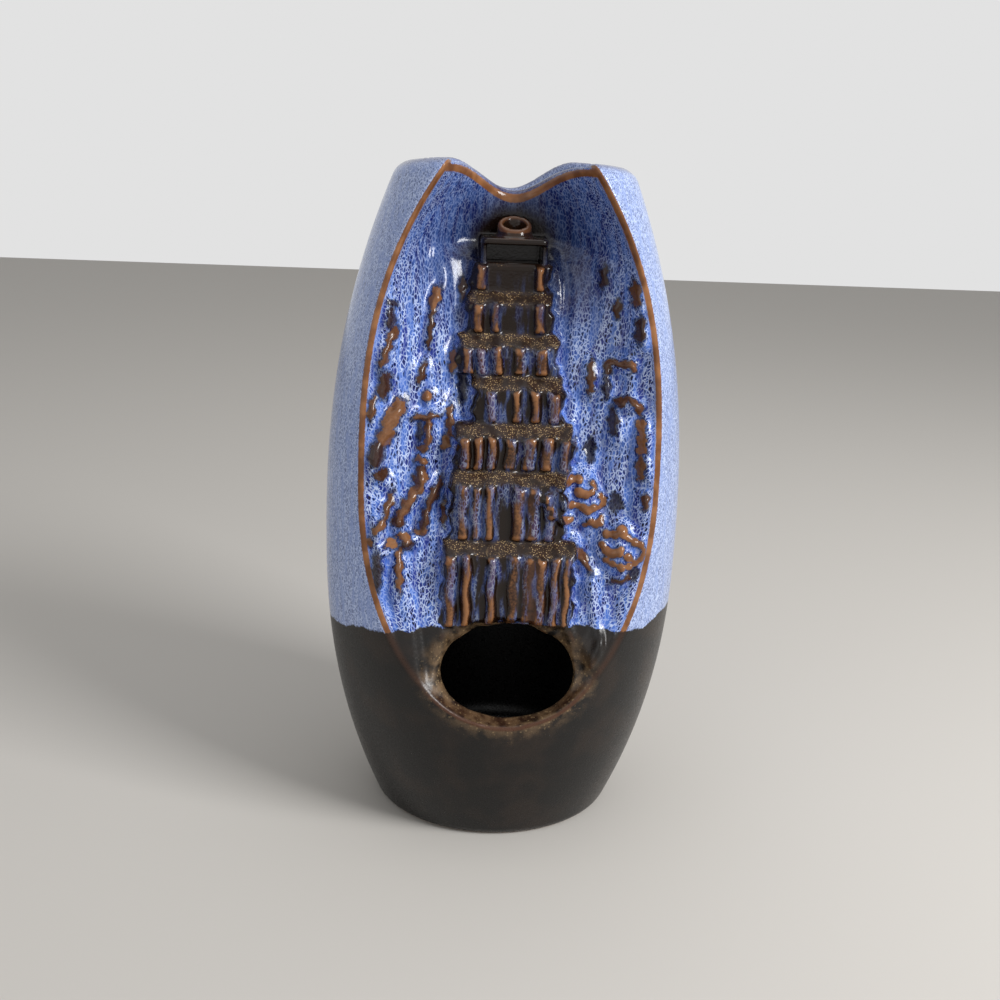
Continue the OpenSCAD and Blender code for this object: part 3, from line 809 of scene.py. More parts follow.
@dataclass
class Clay:
    """The whole slip-cast body as a signed distance, negative inside the clay."""

    outline: Outline
    hollow: Hollow
    seat: ConeSeat
    pool: Pool
    carving: Carving
    ridge_soft: float = 1.6
    rim_soft: float = 3.4
    wall_soft: float = 0.8
    detail_soft: float = 0.9
    mound_soft: float = 0.8
    seat_soft: float = 0.4
    fillet: float = 1.4
    slab_soft: float = 0.9
    cheek_fillet: float = 0.6
    pool_soft: float = 2.0
    tables: Tables = field(init=False)

    def __post_init__(self) -> None:
        """Works out the carving's tables once."""
        self.tables = self.carving.tables()
        for name in ("carved", "behind"):
            self.tables.add_slope(name)

    def chamber(self, x: Array, y: Array, z: Array) -> Array:
        """Gives the signed distance to the hollow.

        Args:
            x: Places across, in millimetres.
            y: Places from front to back, in millimetres.
            z: Heights, in millimetres.

        Returns:
            The distances, negative inside the hollow.
        """
        hollow = self.hollow
        side = self.outline.distance(x, y, z, hollow.wall)
        room = soft_max(side, self.behind("behind", x, y, z), hollow.seam)
        return soft_max(room, hollow.floor_t - z, hollow.corner)

    def behind(self, name: str, x: Array, y: Array, z: Array) -> Array:
        """Gives the distance by which a place lies in front of a table's surface."""
        return (self.tables.read(name, x, z) - y) * self.tables.read(name + "_slope", x, z)

    def distance(self, x: Array, y: Array, z: Array) -> Array:
        """Gives the signed distance to the clay's surface.

        Args:
            x: Places across, in millimetres.
            y: Places from front to back, in millimetres.
            z: Heights, in millimetres.

        Returns:
            The distances, negative inside the clay.
        """
        seat, pool, cut = self.seat, self.pool, self.detail_soft
        skin = self.outline.distance(x, y, z)
        skin = soft_max(skin, -z, self.outline.foot_round)
        clay = soft_max(skin, self.behind("carved", x, y, z), self.ridge_soft)
        clay = soft_max(clay, -self.chamber(x, y, z), self.wall_soft)
        clay = soft_max(clay, z - self.outline.rim_z(x), self.rim_soft)
        clay = soft_min(clay, self.ledge(x, y, z), cut)

        around = np.sqrt(x**2 + (y + seat.seat_y) ** 2)
        tip = math.radians(seat.seat_tip)
        top = (z - seat.ledge_z - seat.seat_h) * math.cos(tip) - (y + seat.seat_y) * math.sin(tip)
        foot = seat.ledge_z - seat.ledge_t / 2
        up = clamp((z - foot) / (seat.ledge_t / 2 + seat.seat_h + seat.rise))
        radius = mix(seat.seat_d + seat.seat_h / 2, seat.seat_d, up) / 2
        mound = soft_max(soft_max(around - radius, top, self.mound_soft), foot - z, self.seat_soft)
        clay = soft_min(clay, mound, self.fillet)

        low, top_front = self.carving.falls_top, self.carving.top_front
        end = seat.smoke_d / 2 - seat.seat_y + seat.joint
        slot = np.maximum(np.abs(x) - seat.slot_w / 2, np.abs(z - low - seat.slot_h / 2) - seat.slot_h / 2)
        slot = np.maximum(np.maximum(slot, y - end), top_front - self.hollow.wall - y)
        clay = soft_max(clay, -slot, cut)

        over = z - seat.ledge_z - seat.seat_h - seat.rise
        bore = np.maximum(np.maximum(around - seat.smoke_d / 2, low + seat.slot_h / 2 - z), over)
        clay = soft_max(clay, -bore, cut)

        hole = (pool.nearness(x, z) - 1.0) * pool.height / 2
        hole = np.maximum(hole, y + self.outline.belly_d / 8)
        return soft_max(clay, -hole, self.pool_soft)

    def ledge(self, x: Array, y: Array, z: Array) -> Array:
        """Gives the signed distance to the ledge and to the cheeks that carry it.

        Args:
            x: Places across, in millimetres.
            y: Places from front to back, in millimetres.
            z: Heights, in millimetres.

        Returns:
            The distances, negative inside.
        """
        seat, top_front = self.seat, self.carving.top_front
        end = self.carving.recess_back + self.hollow.wall / 2
        side = np.abs(x) - seat.ledge_w / 2
        slab = soft_max(side, top_front - seat.ledge_out - y, seat.ledge_round)
        slab = soft_max(slab, np.abs(z - seat.ledge_z + seat.ledge_t / 2) - seat.ledge_t / 2, self.slab_soft)
        cheeks = soft_max(side, top_front - y, seat.ledge_round)
        low = self.carving.falls_top - seat.joint
        cheeks = np.maximum(cheeks, np.maximum(low - z, z - seat.ledge_z + seat.ledge_t / 2))
        return np.maximum(soft_min(slab, cheeks, self.cheek_fillet), y - end)

    def slope(self, points: Array, reach: float = 0.12) -> Array:
        """Gives the direction square to the surface.

        Args:
            points: Points near the surface, in millimetres.
            reach: How far to each side of a point the surface is felt.

        Returns:
            One direction for each point.
        """
        out = np.empty_like(points)
        for k in range(3):
            shift = np.zeros(3)
            shift[k] = reach
            ahead, behind = points + shift, points - shift
            out[:, k] = self.distance(*ahead.T) - self.distance(*behind.T)
        return out / (2 * reach)


class Side(Enum):
    """Axis that an edge of the grid runs along."""

    X = 0
    Y = 1
    Z = 2


# The four cells round an edge of the grid, in turning order
ROUND_EDGE: dict[Side, tuple[tuple[int, int, int], ...]] = {
    Side.X: ((0, 0, 0), (0, -1, 0), (0, -1, -1), (0, 0, -1)),
    Side.Y: ((0, 0, 0), (0, 0, -1), (-1, 0, -1), (-1, 0, 0)),
    Side.Z: ((0, 0, 0), (-1, 0, 0), (-1, -1, 0), (0, -1, 0)),
}


@dataclass
class SurfaceNet:
    """Turns a signed distance over a grid of uneven spacing into a closed mesh of quads."""

    axes: tuple[Array, Array, Array]

    def build(self, distance: Callable[[Array, Array, Array], Array]) -> tuple[Array, Array]:
        """Finds the surface.

        Args:
            distance: The signed distance, negative inside.

        Returns:
            The points and the quads of the surface.
        """
        grid = np.empty([len(a) for a in self.axes])
        xs, ys, zs = self.axes
        for i, x in enumerate(xs):
            y, z = np.meshgrid(ys, zs, indexing="ij")
            grid[i] = distance(np.full_like(y, x), y, z)
        return self.quads(grid)

    def quads(self, grid: Array) -> tuple[Array, Array]:
        """Places a point in each cell that the surface crosses and joins them.

        Args:
            grid: Signed distances at the grid's points.

        Returns:
            The points and the quads of the surface.
        """
        inside = grid < 0
        shape = tuple(n - 1 for n in grid.shape)
        total = np.zeros(shape + (3,))
        count = np.zeros(shape)
        faces: list[tuple[Side, Array, Array]] = []
        for side in Side:
            k = side.value
            lo = [slice(None)] * 3
            hi = [slice(None)] * 3
            lo[k], hi[k] = slice(None, -1), slice(1, None)
            a, b = grid[tuple(lo)], grid[tuple(hi)]
            cross = inside[tuple(lo)] != inside[tuple(hi)]
            where = np.argwhere(cross)
            share = a[cross] / (a[cross] - b[cross])
            points = np.stack([self.axes[m][where[:, m]] for m in range(3)], axis=1)
            points[:, k] += share * (self.axes[k][where[:, k] + 1] - self.axes[k][where[:, k]])
            for corner in ROUND_EDGE[side]:
                cell = where + np.array(corner)
                good = np.all((cell >= 0) & (cell < np.array(shape)), axis=1)
                c = cell[good]
                np.add.at(total, (c[:, 0], c[:, 1], c[:, 2]), points[good])
                np.add.at(count, (c[:, 0], c[:, 1], c[:, 2]), 1)
            faces.append((side, where, inside[tuple(lo)][cross]))
        used = count > 0
        index = np.full(shape, -1, np.int64)
        index[used] = np.arange(int(used.sum()))
        made = total[used] / count[used][:, None]
        quads = []
        for side, where, solid in faces:
            ids = []
            for corner in ROUND_EDGE[side]:
                cell = where + np.array(corner)
                ids.append(index[cell[:, 0], cell[:, 1], cell[:, 2]])
            quad = np.stack(ids, axis=1)
            quads.append(np.where(solid[:, None], quad, quad[:, ::-1]))
        return made, np.concatenate(quads)


def ladder(stops: tuple[tuple[float, float], ...], start: float) -> Array:
    """Makes the coordinates of a grid whose spacing changes.

    Args:
        stops: Where each stretch ends, and the spacing in it.
        start: Where the first stretch begins.

    Returns:
        The coordinates in rising order.
    """
    out = [np.array([start])]
    for end, step in stops:
        begin = out[-1][-1]
        count = max(1, int(round((end - begin) / step)))
        out.append(np.linspace(begin, end, count + 1)[1:])
    return np.concatenate(out)


def placed(name: str, data: bpy.types.ID) -> bpy.types.Object:
    """Adds an object to the scene.

    Args:
        name: The object's name.
        data: Its mesh, light or camera.

    Returns:
        The object.
    """
    made = bpy.data.objects.new(name, data)
    bpy.context.scene.collection.objects.link(made)
    return made


@dataclass(frozen=True)
class GlazeLine:
    """Height at which the blue glaze ends over the black one, across the front and round the back."""

    places: tuple[float, ...] = (-52.0, -48.0, -40.0, -29.0, -20.0, 19.0, 28.0, 40.0, 48.0, 52.0)
    heights: tuple[float, ...] = (60.0, 61.5, 65.0, 66.8, 67.4, 68.0, 68.0, 66.6, 68.0, 66.5)
    behind: float = 64.0
    side_y: float = 6.0

    def height(self, x: Array, y: Array) -> Array:
        """Gives the line's height at a place."""
        round_side = smooth((y + self.side_y) / (2 * self.side_y))
        return mix(np.interp(x, self.places, self.heights), self.behind, round_side)


@dataclass(frozen=True)
class Marks:
    """Reaches of the values that the glaze reads, in millimetres; the lip's are shares of the large hole."""

    carved: float = 3.0
    edge: float = 1.5
    slant: float = 7.0
    slant_fade: float = 4.0
    ridge: float = 1.6
    rim: float = 2.2
    rim_back: float = 8.5
    crest: float = 1.6
    # Reaches of the falls' dark glaze and the painted shade round the ledge
    seat_x: float = 12.5
    seat_z: float = 10.5
    seat_low: float = 2.0
    seat_front: float = 14.0
    seat_back: float = 9.0
    # Reaches of the deeper blue and painted shade round the head of the falls
    deep_blue_shade_x: float = 30.0
    deep_blue_shade_z: float = 26.0
    deep_blue_shade_middle: float = 166.0
    mound: float = 7.2
    # Where the painted shade inside the hollow fades out below the mouth
    mouth_z: float = 182.0
    mouth_fade: float = 5.0
    hollow: float = 1.2
    lip: float = 1.45
    lip_fade: float = 0.4
    lip_y: float = -8.0

    def seat_glaze_and_shade(self, x: Array, y: Array, z: Array, ledge_z: float) -> Array:
        """Marks the dark place round the ledge: the falls' dark glaze over the ledge and mound, and painted
        shade round them.

        Args:
            x: Places across, in millimetres.
            y: Places from front to back, in millimetres.
            z: Heights, in millimetres.
            ledge_z: Height of the ledge's top.

        Returns:
            1 close to the ledge, 0 away from it.
        """
        left = 1.0 - np.sqrt((x / self.seat_x) ** 2 + ((z - ledge_z + self.seat_low) / self.seat_z) ** 2)
        depth = smooth((y + self.seat_front) / 3.0) * smooth((self.seat_back - y) / 2.0)
        return smooth(2.0 * left + 0.35) * depth

    def deep_blue_shade_share(self, x: Array, z: Array) -> Array:
        """Marks the darker, deeper blue round the head of the falls: partly pooled glaze, partly painted
        shade.
        """
        away = np.sqrt((x / self.deep_blue_shade_x) ** 2 + ((z - self.deep_blue_shade_middle) / self.deep_blue_shade_z) ** 2)
        return smooth(1.1 * (1.0 - away) + 0.35)


@dataclass
class VaseBody:
    """The glazed body as one closed mesh, with the values that its glaze reads at each point."""

    clay: Clay
    line: GlazeLine = GlazeLine()
    marks: Marks = Marks()
    lowest: tuple[float, float, float] = (-54.3, -45.7, -1.9)
    highest: tuple[float, float, float] = (54.3, 46.5, 192.3)
    fine_x: float = 0.5
    fine_y: float = 0.7
    fine_z: float = 0.55
    plain_x: float = 1.5
    plain_y: float = 2.0
    plain_z: float = 1.6
    margin: float = 2.0
    carved_back: float = 8.0
    most_triangles: int = 188000
    keep_reach: float = 2.2
    keep_beside: float = 1.5
    settle_rounds: int = 3
    least_slope: float = 0.25
    longest_move: float = 0.4
    curve_reach: float = 0.7
    name: str = "vase_body"

    def grid(self) -> tuple[Array, Array, Array]:
        """Gives the grid's coordinates, close together over the carving.

        Returns:
            The coordinates along each axis.
        """
        loose = 1.0
        fine_x, fine_y, fine_z = self.fine_x * loose, self.fine_y * loose, self.fine_z * loose
        half = self.clay.carving.recess_w / 2 + self.margin
        low = self.clay.carving.recess_low - self.margin
        end_x, end_y, end_z = self.highest
        x = ladder(((-half, self.plain_x), (half, fine_x), (end_x, self.plain_x)), self.lowest[0])
        y = ladder(((self.carved_back, fine_y), (end_y, self.plain_y)), self.lowest[1])
        z = ladder(((low, self.plain_z), (end_z, fine_z)), self.lowest[2])
        return x, y, z

    def build(self) -> bpy.types.Object:
        """Makes the body's mesh.

        Returns:
            The object, in metres, in the row's frame.
        """
        points, quads = SurfaceNet(self.grid()).build(self.clay.distance)
        rough = bpy.data.meshes.new(self.name + "_net")
        rough.from_pydata(points.tolist(), [], quads.tolist())
        net = placed(self.name + "_net", rough)
        self.thin_out(net, points, len(quads))
        graph = bpy.context.evaluated_depsgraph_get()
        mesh = bpy.data.meshes.new_from_object(net.evaluated_get(graph))
        bpy.data.objects.remove(net)
        bpy.data.meshes.remove(rough)
        mesh.name = self.name
        spots = np.empty(len(mesh.vertices) * 3)
        mesh.vertices.foreach_get("co", spots)
        spots = self.settle(spots.reshape(-1, 3))
        mesh.vertices.foreach_set("co", (spots * MM).ravel())
        mesh.shade_smooth()
        slope = self.clay.slope(spots)
        slope /= np.linalg.norm(slope, axis=1)[:, None]
        for word, values in self.values(spots, slope).items():
            layer = mesh.attributes.new(word, "FLOAT", "POINT")
            layer.data.foreach_set("value", values.astype(np.float32))
        mesh.normals_split_custom_set_from_vertices(slope.tolist())
        mesh.update()
        body = placed(self.name, mesh)
        log.info("vase body: %d points, %d faces", len(mesh.vertices), len(mesh.polygons))
        return body

    def thin_out(self, net: bpy.types.Object, points: Array, quads: int) -> None:
        """Keeps the carving's points and thins out the plain sides and the hollow.

        Args:
            net: The object with the raw surface.
            points: Its points, in millimetres.
            quads: How many quads it has.
        """
        x, y, z = points.T
        carved = self.clay.tables.read("carved", x, z)
        near = np.abs(carved - y) < self.keep_reach
        near &= self.clay.carving.within(x, z) > -self.keep_beside
        group = net.vertex_groups.new(name="plain")
        group.add(np.flatnonzero(~near).tolist(), 1.0, "REPLACE")
        thin = net.modifiers.new("thin", "DECIMATE")
        thin.ratio = min(1.0, self.most_triangles / (2.0 * quads))
        thin.vertex_group = "plain"
        thin.vertex_group_factor = 1.0

    def settle(self, points: Array) -> Array:
        """Moves the points onto the exact surface.

        Args:
            points: Points close to the surface, in millimetres.

        Returns:
            The points on the surface.
        """
        for _ in range(self.settle_rounds):
            slope = self.clay.slope(points)
            length = np.maximum((slope**2).sum(1), self.least_slope)
            move = (self.clay.distance(*points.T) / length)[:, None] * slope
            size = np.linalg.norm(move, axis=1)[:, None]
            points = points - move * np.minimum(1.0, self.longest_move / np.maximum(size, TINY))
        return points

    def bend(self, points: Array, slope: Array) -> Array:
        """Measures how sharply the surface bends.

        Args:
            points: Points on the surface, in millimetres.
            slope: Directions square to the surface.

        Returns:
            The bend, positive on edges and negative in grooves.
        """
        reach = self.curve_reach
        aside = np.cross(slope, np.array([0.0, 0.0, 1.0]))
        flat = np.linalg.norm(aside, axis=1) < 0.1
        aside[flat] = np.array([1.0, 0.0, 0.0])
        aside /= np.linalg.norm(aside, axis=1)[:, None]
        bend = -4.0 * self.clay.distance(*points.T)
        for turn in (aside, np.cross(slope, aside)):
            for sign in (-1.0, 1.0):
                bend = bend + self.clay.distance(*(points + sign * reach * turn).T)
        return bend / reach**2

    def values(self, points: Array, slope: Array) -> dict[str, Array]:
        """Works out what the glaze reads at each point.

        Args:
            points: Points on the surface, in millimetres.
            slope: Directions square to the surface.

        Returns:
            The named values.
        """
        x, y, z = points.T
        marks, clay, tables, seat = self.marks, self.clay, self.clay.tables, self.clay.seat
        carved, inside = tables.read("carved", x, z), tables.read("recess", x, z)
        near = smooth(1.5 - np.abs(carved - y) / marks.carved)
        out = {name: tables.read(name, x, z) * near for name in ("falls", "treads", "ribs", "puffs")}
        out["tone"] = tables.read("tone", x, z)
        out["breaks"] = mix(-1.0, tables.read("breaks", x, z), near)
        out["recess"] = clamp(inside / marks.edge) * near
        out["slant"] = smooth((marks.slant - inside) / marks.slant_fade) * near

        low = clay.outline.rim_z(x) - z
        ridge = smooth(1.0 - np.abs(inside - 0.2) / marks.ridge) * near * (y < 0)
        rim = smooth(1.0 - np.abs(low - marks.rim) / marks.rim)
        rim = rim * smooth((clay.carving.edge_x(z) - np.abs(x)) / marks.edge + 0.5)
        out["ridge"] = np.maximum(ridge, rim * (carved - y > -marks.edge) * (y < marks.rim_back))
        out["crest"] = smooth(1.0 - low / marks.crest)

        away = np.sqrt(x**2 + (y + seat.seat_y) ** 2)
        mound = smooth((marks.mound - away) / 1.2) * smooth((z - seat.ledge_z + 0.3) / 0.5)
        out["mound"] = mound * (away > seat.smoke_d / 2 - 0.4)
        # the falls' dark glaze over the ledge and mound, with painted shade round them
        out["seat"] = marks.seat_glaze_and_shade(x, y, z, seat.ledge_z)
        # deeper pooled blue and painted shade round the head of the falls
        out["deep_blue_and_shade"] = marks.deep_blue_shade_share(x, z) * near * (inside > 0)
        # painted shade: the hollow's inside is painted black up to the mouth
        hollow = smooth(1.3 - np.abs(clay.chamber(x, y, z)) / marks.hollow)
        out["inside"] = hollow * smooth((marks.mouth_z - z) / marks.mouth_fade)
        out["lip"] = smooth((marks.lip - clay.pool.nearness(x, z)) / marks.lip_fade) * (y < marks.lip_y)
        out["above"] = z - self.line.height(x, y)

        bend = self.bend(points, slope)
        out["convex"], out["concave"] = clamp(bend), clamp(-bend)
        return out


class Socket(Enum):
    """Kinds of sockets on the shader groups."""

    FLOAT = "NodeSocketFloat"
    COLOR = "NodeSocketColor"
    VECTOR = "NodeSocketVector"


Colour = tuple[float, float, float, float]
Inputs = dict[int | str, object]
Limits = tuple[float, ...]


def srgb(red: int, green: int, blue: int) -> Colour:
    """Turns a colour as seen on a screen into Blender's linear one.

    Args:
        red: Red, 0 to 255.
        green: Green, 0 to 255.
        blue: Blue, 0 to 255.

    Returns:
        The linear colour, opaque.
    """
    parts = [v / 255 for v in (red, green, blue)]
    linear = [v / 12.92 if v <= 0.04045 else ((v + 0.055) / 1.055) ** 2.4 for v in parts]
    return linear[0], linear[1], linear[2], 1.0


@dataclass
class Weave:
    """Short ways to add and join nodes in one tree."""

    tree: bpy.types.NodeTree

    def join(self, source: object, target: bpy.types.NodeSocket) -> None:
        """Links a socket to another, or sets the target to a plain value.

        Args:
            source: A socket or a value.
            target: The input that takes it.
        """
        if isinstance(source, bpy.types.NodeSocket):
            self.tree.links.new(source, target)
        else:
            target.default_value = source

    def node(self, kind: str, inputs: Inputs | None = None, **settings: object) -> bpy.types.Node:
        """Adds a node.

        Args:
            kind: The node's type.
            inputs: What its inputs take, by their number or name: sockets or plain values.
            **settings: Its plain properties.

        Returns:
            The node.
        """
        made = self.tree.nodes.new(kind)
        for name, value in settings.items():
            setattr(made, name, value)
        for plug, source in (inputs or {}).items():
            self.join(source, made.inputs[plug])
        return made

    def math(self, operation: str, *values: object, clamped: bool = False) -> bpy.types.NodeSocket:
        """Works out one value from others."""
        inputs = dict(enumerate(values))
        return self.node("ShaderNodeMath", inputs, operation=operation, use_clamp=clamped).outputs[0]

    def times(self, first: object, second: object) -> bpy.types.NodeSocket:
        """Multiplies two values."""
        return self.math("MULTIPLY", first, second)

    def plus(self, first: object, second: object) -> bpy.types.NodeSocket:
        """Adds two values."""
        return self.math("ADD", first, second)

    def most(self, first: object, second: object) -> bpy.types.NodeSocket:
        """Takes the greater of two values."""
        return self.math("MAXIMUM", first, second)

    def swing(self, noise: object, share: float) -> bpy.types.NodeSocket:
        """Turns a noise into a value that swings round zero."""
        return self.times(self.math("SUBTRACT", noise, 0.5), share)

    def span(self, value: object, *limits: float) -> bpy.types.NodeSocket:
        """Maps a range of a value smoothly onto 0 to 1, or onto the range that two more limits give."""
        inputs = dict(enumerate((value, *limits)))
        return self.node("ShaderNodeMapRange", inputs, interpolation_type="SMOOTHSTEP").outputs[0]

    def fade(self, value: object, share: float) -> bpy.types.NodeSocket:
        """Goes from 1 down to a share as a value rises from 0 to 1."""
        return self.span(value, 0.0, 1.0, 1.0, share)

    def blend(self, share: object, first: object, second: object) -> bpy.types.NodeSocket:
        """Mixes two colours by a share."""
        return self.node("ShaderNodeMix", {0: share, 6: first, 7: second}, data_type="RGBA").outputs[2]

    def between(self, share: object, first: object, second: object) -> bpy.types.NodeSocket:
        """Goes from one value to another by a share."""
        return self.node("ShaderNodeMix", {0: share, 2: first, 3: second}, data_type="FLOAT").outputs[0]

    def scaled(self, vector: object, by: tuple[float, float, float]) -> bpy.types.NodeSocket:
        """Scales a position."""
        return self.node("ShaderNodeMapping", {"Vector": vector, "Scale": by}).outputs[0]

    def noise(self, vector: object, scale: float, detail: float = 2.0) -> bpy.types.Node:
        """Adds a noise texture."""
        return self.node("ShaderNodeTexNoise", {"Vector": vector, "Scale": scale, "Detail": detail})

    def cloud(self, vector: object, scale: float, detail: float = 2.0) -> bpy.types.NodeSocket:
        """Gives the value of a noise."""
        return self.noise(vector, scale, detail).outputs[0]

    def cells(self, vector: object, scale: float, feature: str = "F1") -> bpy.types.NodeSocket:
        """Gives the distance to the nearest point or edge of a pattern of cells."""
        made = self.node("ShaderNodeTexVoronoi", {"Vector": vector, "Scale": scale}, feature=feature)
        return made.outputs["Distance"]

    def value(self, name: str) -> bpy.types.NodeSocket:
        """Reads one of the body's values."""
        return self.node("ShaderNodeAttribute", attribute_name=name).outputs["Fac"]

    def ramp(self, value: object, stops: tuple[tuple[float, Colour], ...]) -> bpy.types.NodeSocket:
        """Turns a value into a colour through several stops.

        Args:
            value: The value.
            stops: Places along the ramp, with their colours.

        Returns:
            The colour.
        """
        made = self.node("ShaderNodeValToRGB", {0: value})
        bar = made.color_ramp
        while len(bar.elements) < len(stops):
            bar.elements.new(0.5)
        for stop, (place, colour) in zip(bar.elements, stops):
            stop.position, stop.color = place, colour
        return made.outputs[0]


def new_group(
    name: str, takes: dict[str, tuple[Socket, object]], gives: dict[str, Socket]
) -> tuple[bpy.types.NodeTree, Weave]:
    """Starts a shader group with named sockets.

    Args:
        name: The group's name.
        takes: Its inputs with their kinds and first values.
        gives: Its outputs with their kinds.

    Returns:
        The group and the helper that fills it.
    """
    tree = bpy.data.node_groups.new(name, "ShaderNodeTree")
    for word, (kind, value) in takes.items():
        socket = tree.interface.new_socket(word, in_out="INPUT", socket_type=kind.value)
        if value is not None:
            socket.default_value = value
    for word, kind in gives.items():
        tree.interface.new_socket(word, in_out="OUTPUT", socket_type=kind.value)
    return tree, Weave(tree)


@dataclass(frozen=True)
class RutileFlow:
    """Variegated glaze: a lace of pale threads over blue, with dark specks, and blue flows in the grooves."""

    pale: Colour = srgb(190, 206, 240)
    even: Colour = srgb(146, 163, 208)
    middle: Colour = srgb(80, 118, 204)
    deep: Colour = srgb(30, 52, 146)
    dark: Colour = srgb(13, 14, 32)
    wriggle: float = 1.0
    wander: float = 0.7
    lean: float = math.radians(-35.0)
    mesh: tuple[float, float, float] = (1.3, 1.3, 0.6)
    gap_draw: tuple[float, float, float] = (1.0, 1.0, 0.4)
    gap_scale: float = 0.8
    drift_draw: tuple[float, float, float] = (1.0, 1.0, 0.14)
    drift_scale: float = 0.5
    flow_edge: Limits = (0.54, 0.66)
    thread_edge: Limits = (0.15, 0.04)
    thread_gaps: Limits = (0.32, 0.52, 0.35, 1.0)
    thread_flow: float = 0.45
    # fewer pale threads in the deeper blue and painted shade
    thread_deep_blue_shade: float = 0.35
    speck_edge: Limits = (0.13, 0.26)
    speck_gaps: Limits = (0.62, 0.42, 0.25, 1.0)
    speck_flow: float = 0.15
    speck_even: float = 0.45
    ground_edge: Limits = (0.36, 0.6)
    even_share: float = 0.8
    # how far the deeper blue and painted shade darkens the colour
    deep_blue_shade_share: float = 0.78

    def threads(self, w: Weave, place: object) -> bpy.types.NodeSocket:
        """Gives the distance to the nearest thread of the lace."""
        return w.cells(w.scaled(place, self.mesh), 1.0, "DISTANCE_TO_EDGE")

    def group(self) -> bpy.types.NodeTree:
        """Builds the shader group once.

        Returns:
            The group. Into it go a position in millimetres, a fineness, the share of threads that slant,
            an evenness, a pooling and a darkening that stands for deeper pooled blue and painted shade; a
            colour comes out.
        """
        known = bpy.data.node_groups.get("rutile_flow")
        if known:
            return known
        takes: dict[str, tuple[Socket, object]] = {"Position": (Socket.VECTOR, None)}
        takes["Fineness"] = (Socket.FLOAT, 1.0)
        takes |= {word: (Socket.FLOAT, 0.0) for word in ("Slant", "Evenness", "Pooling", "Deep blue and shade")}
        tree, w = new_group("rutile_flow", takes, {"Colour": Socket.COLOR})
        given = w.node("NodeGroupInput").outputs
        even, deep_blue_and_shade = given["Evenness"], given["Deep blue and shade"]
        grown = {0: given["Position"], "Scale": given["Fineness"]}
        place = w.node("ShaderNodeVectorMath", grown, operation="SCALE").outputs[0]
        wander = w.noise(place, self.wander, 1.0).outputs["Color"]
        wriggle = {0: wander, 1: (self.wriggle,) * 3, 2: place}
        bent = w.node("ShaderNodeVectorMath", wriggle, operation="MULTIPLY_ADD").outputs[0]
        folded = w.node("ShaderNodeVectorMath", {0: bent}, operation="ABSOLUTE").outputs[0]
        turn = {"Vector": folded, "Angle": self.lean}
        turned = w.node("ShaderNodeVectorRotate", turn, rotation_type="Y_AXIS").outputs[0]
        gap = w.between(given["Slant"], self.threads(w, bent), self.threads(w, turned))

        broken = w.cloud(w.scaled(place, self.gap_draw), self.gap_scale, 1.0)
        drift = w.cloud(w.scaled(place, self.drift_draw), self.drift_scale)
        flow = w.most(w.span(drift, *self.flow_edge), given["Pooling"])
        thread = w.times(w.span(gap, *self.thread_edge), w.span(broken, *self.thread_gaps))
        thread = w.times(thread, w.fade(flow, self.thread_flow))
        speck = w.times(w.span(gap, *self.speck_edge), w.span(broken, *self.speck_gaps))
        speck = w.times(speck, w.fade(flow, self.speck_flow))
        speck = w.times(speck, w.fade(even, self.speck_even))
        ground = w.blend(w.span(drift, *self.ground_edge), self.deep, self.middle)
        ground = w.blend(w.times(even, self.even_share), ground, self.even)
        # painted shade, partly deeper pooled blue, darkens the head of the falls
        colour = w.blend(w.times(deep_blue_and_shade, self.deep_blue_shade_share), ground, self.dark)
        colour = w.blend(speck, colour, self.dark)
        thread = w.times(thread, w.fade(deep_blue_and_shade, self.thread_deep_blue_shade))
        w.node("NodeGroupOutput", {"Colour": w.blend(thread, colour, self.pale)})
        return tree


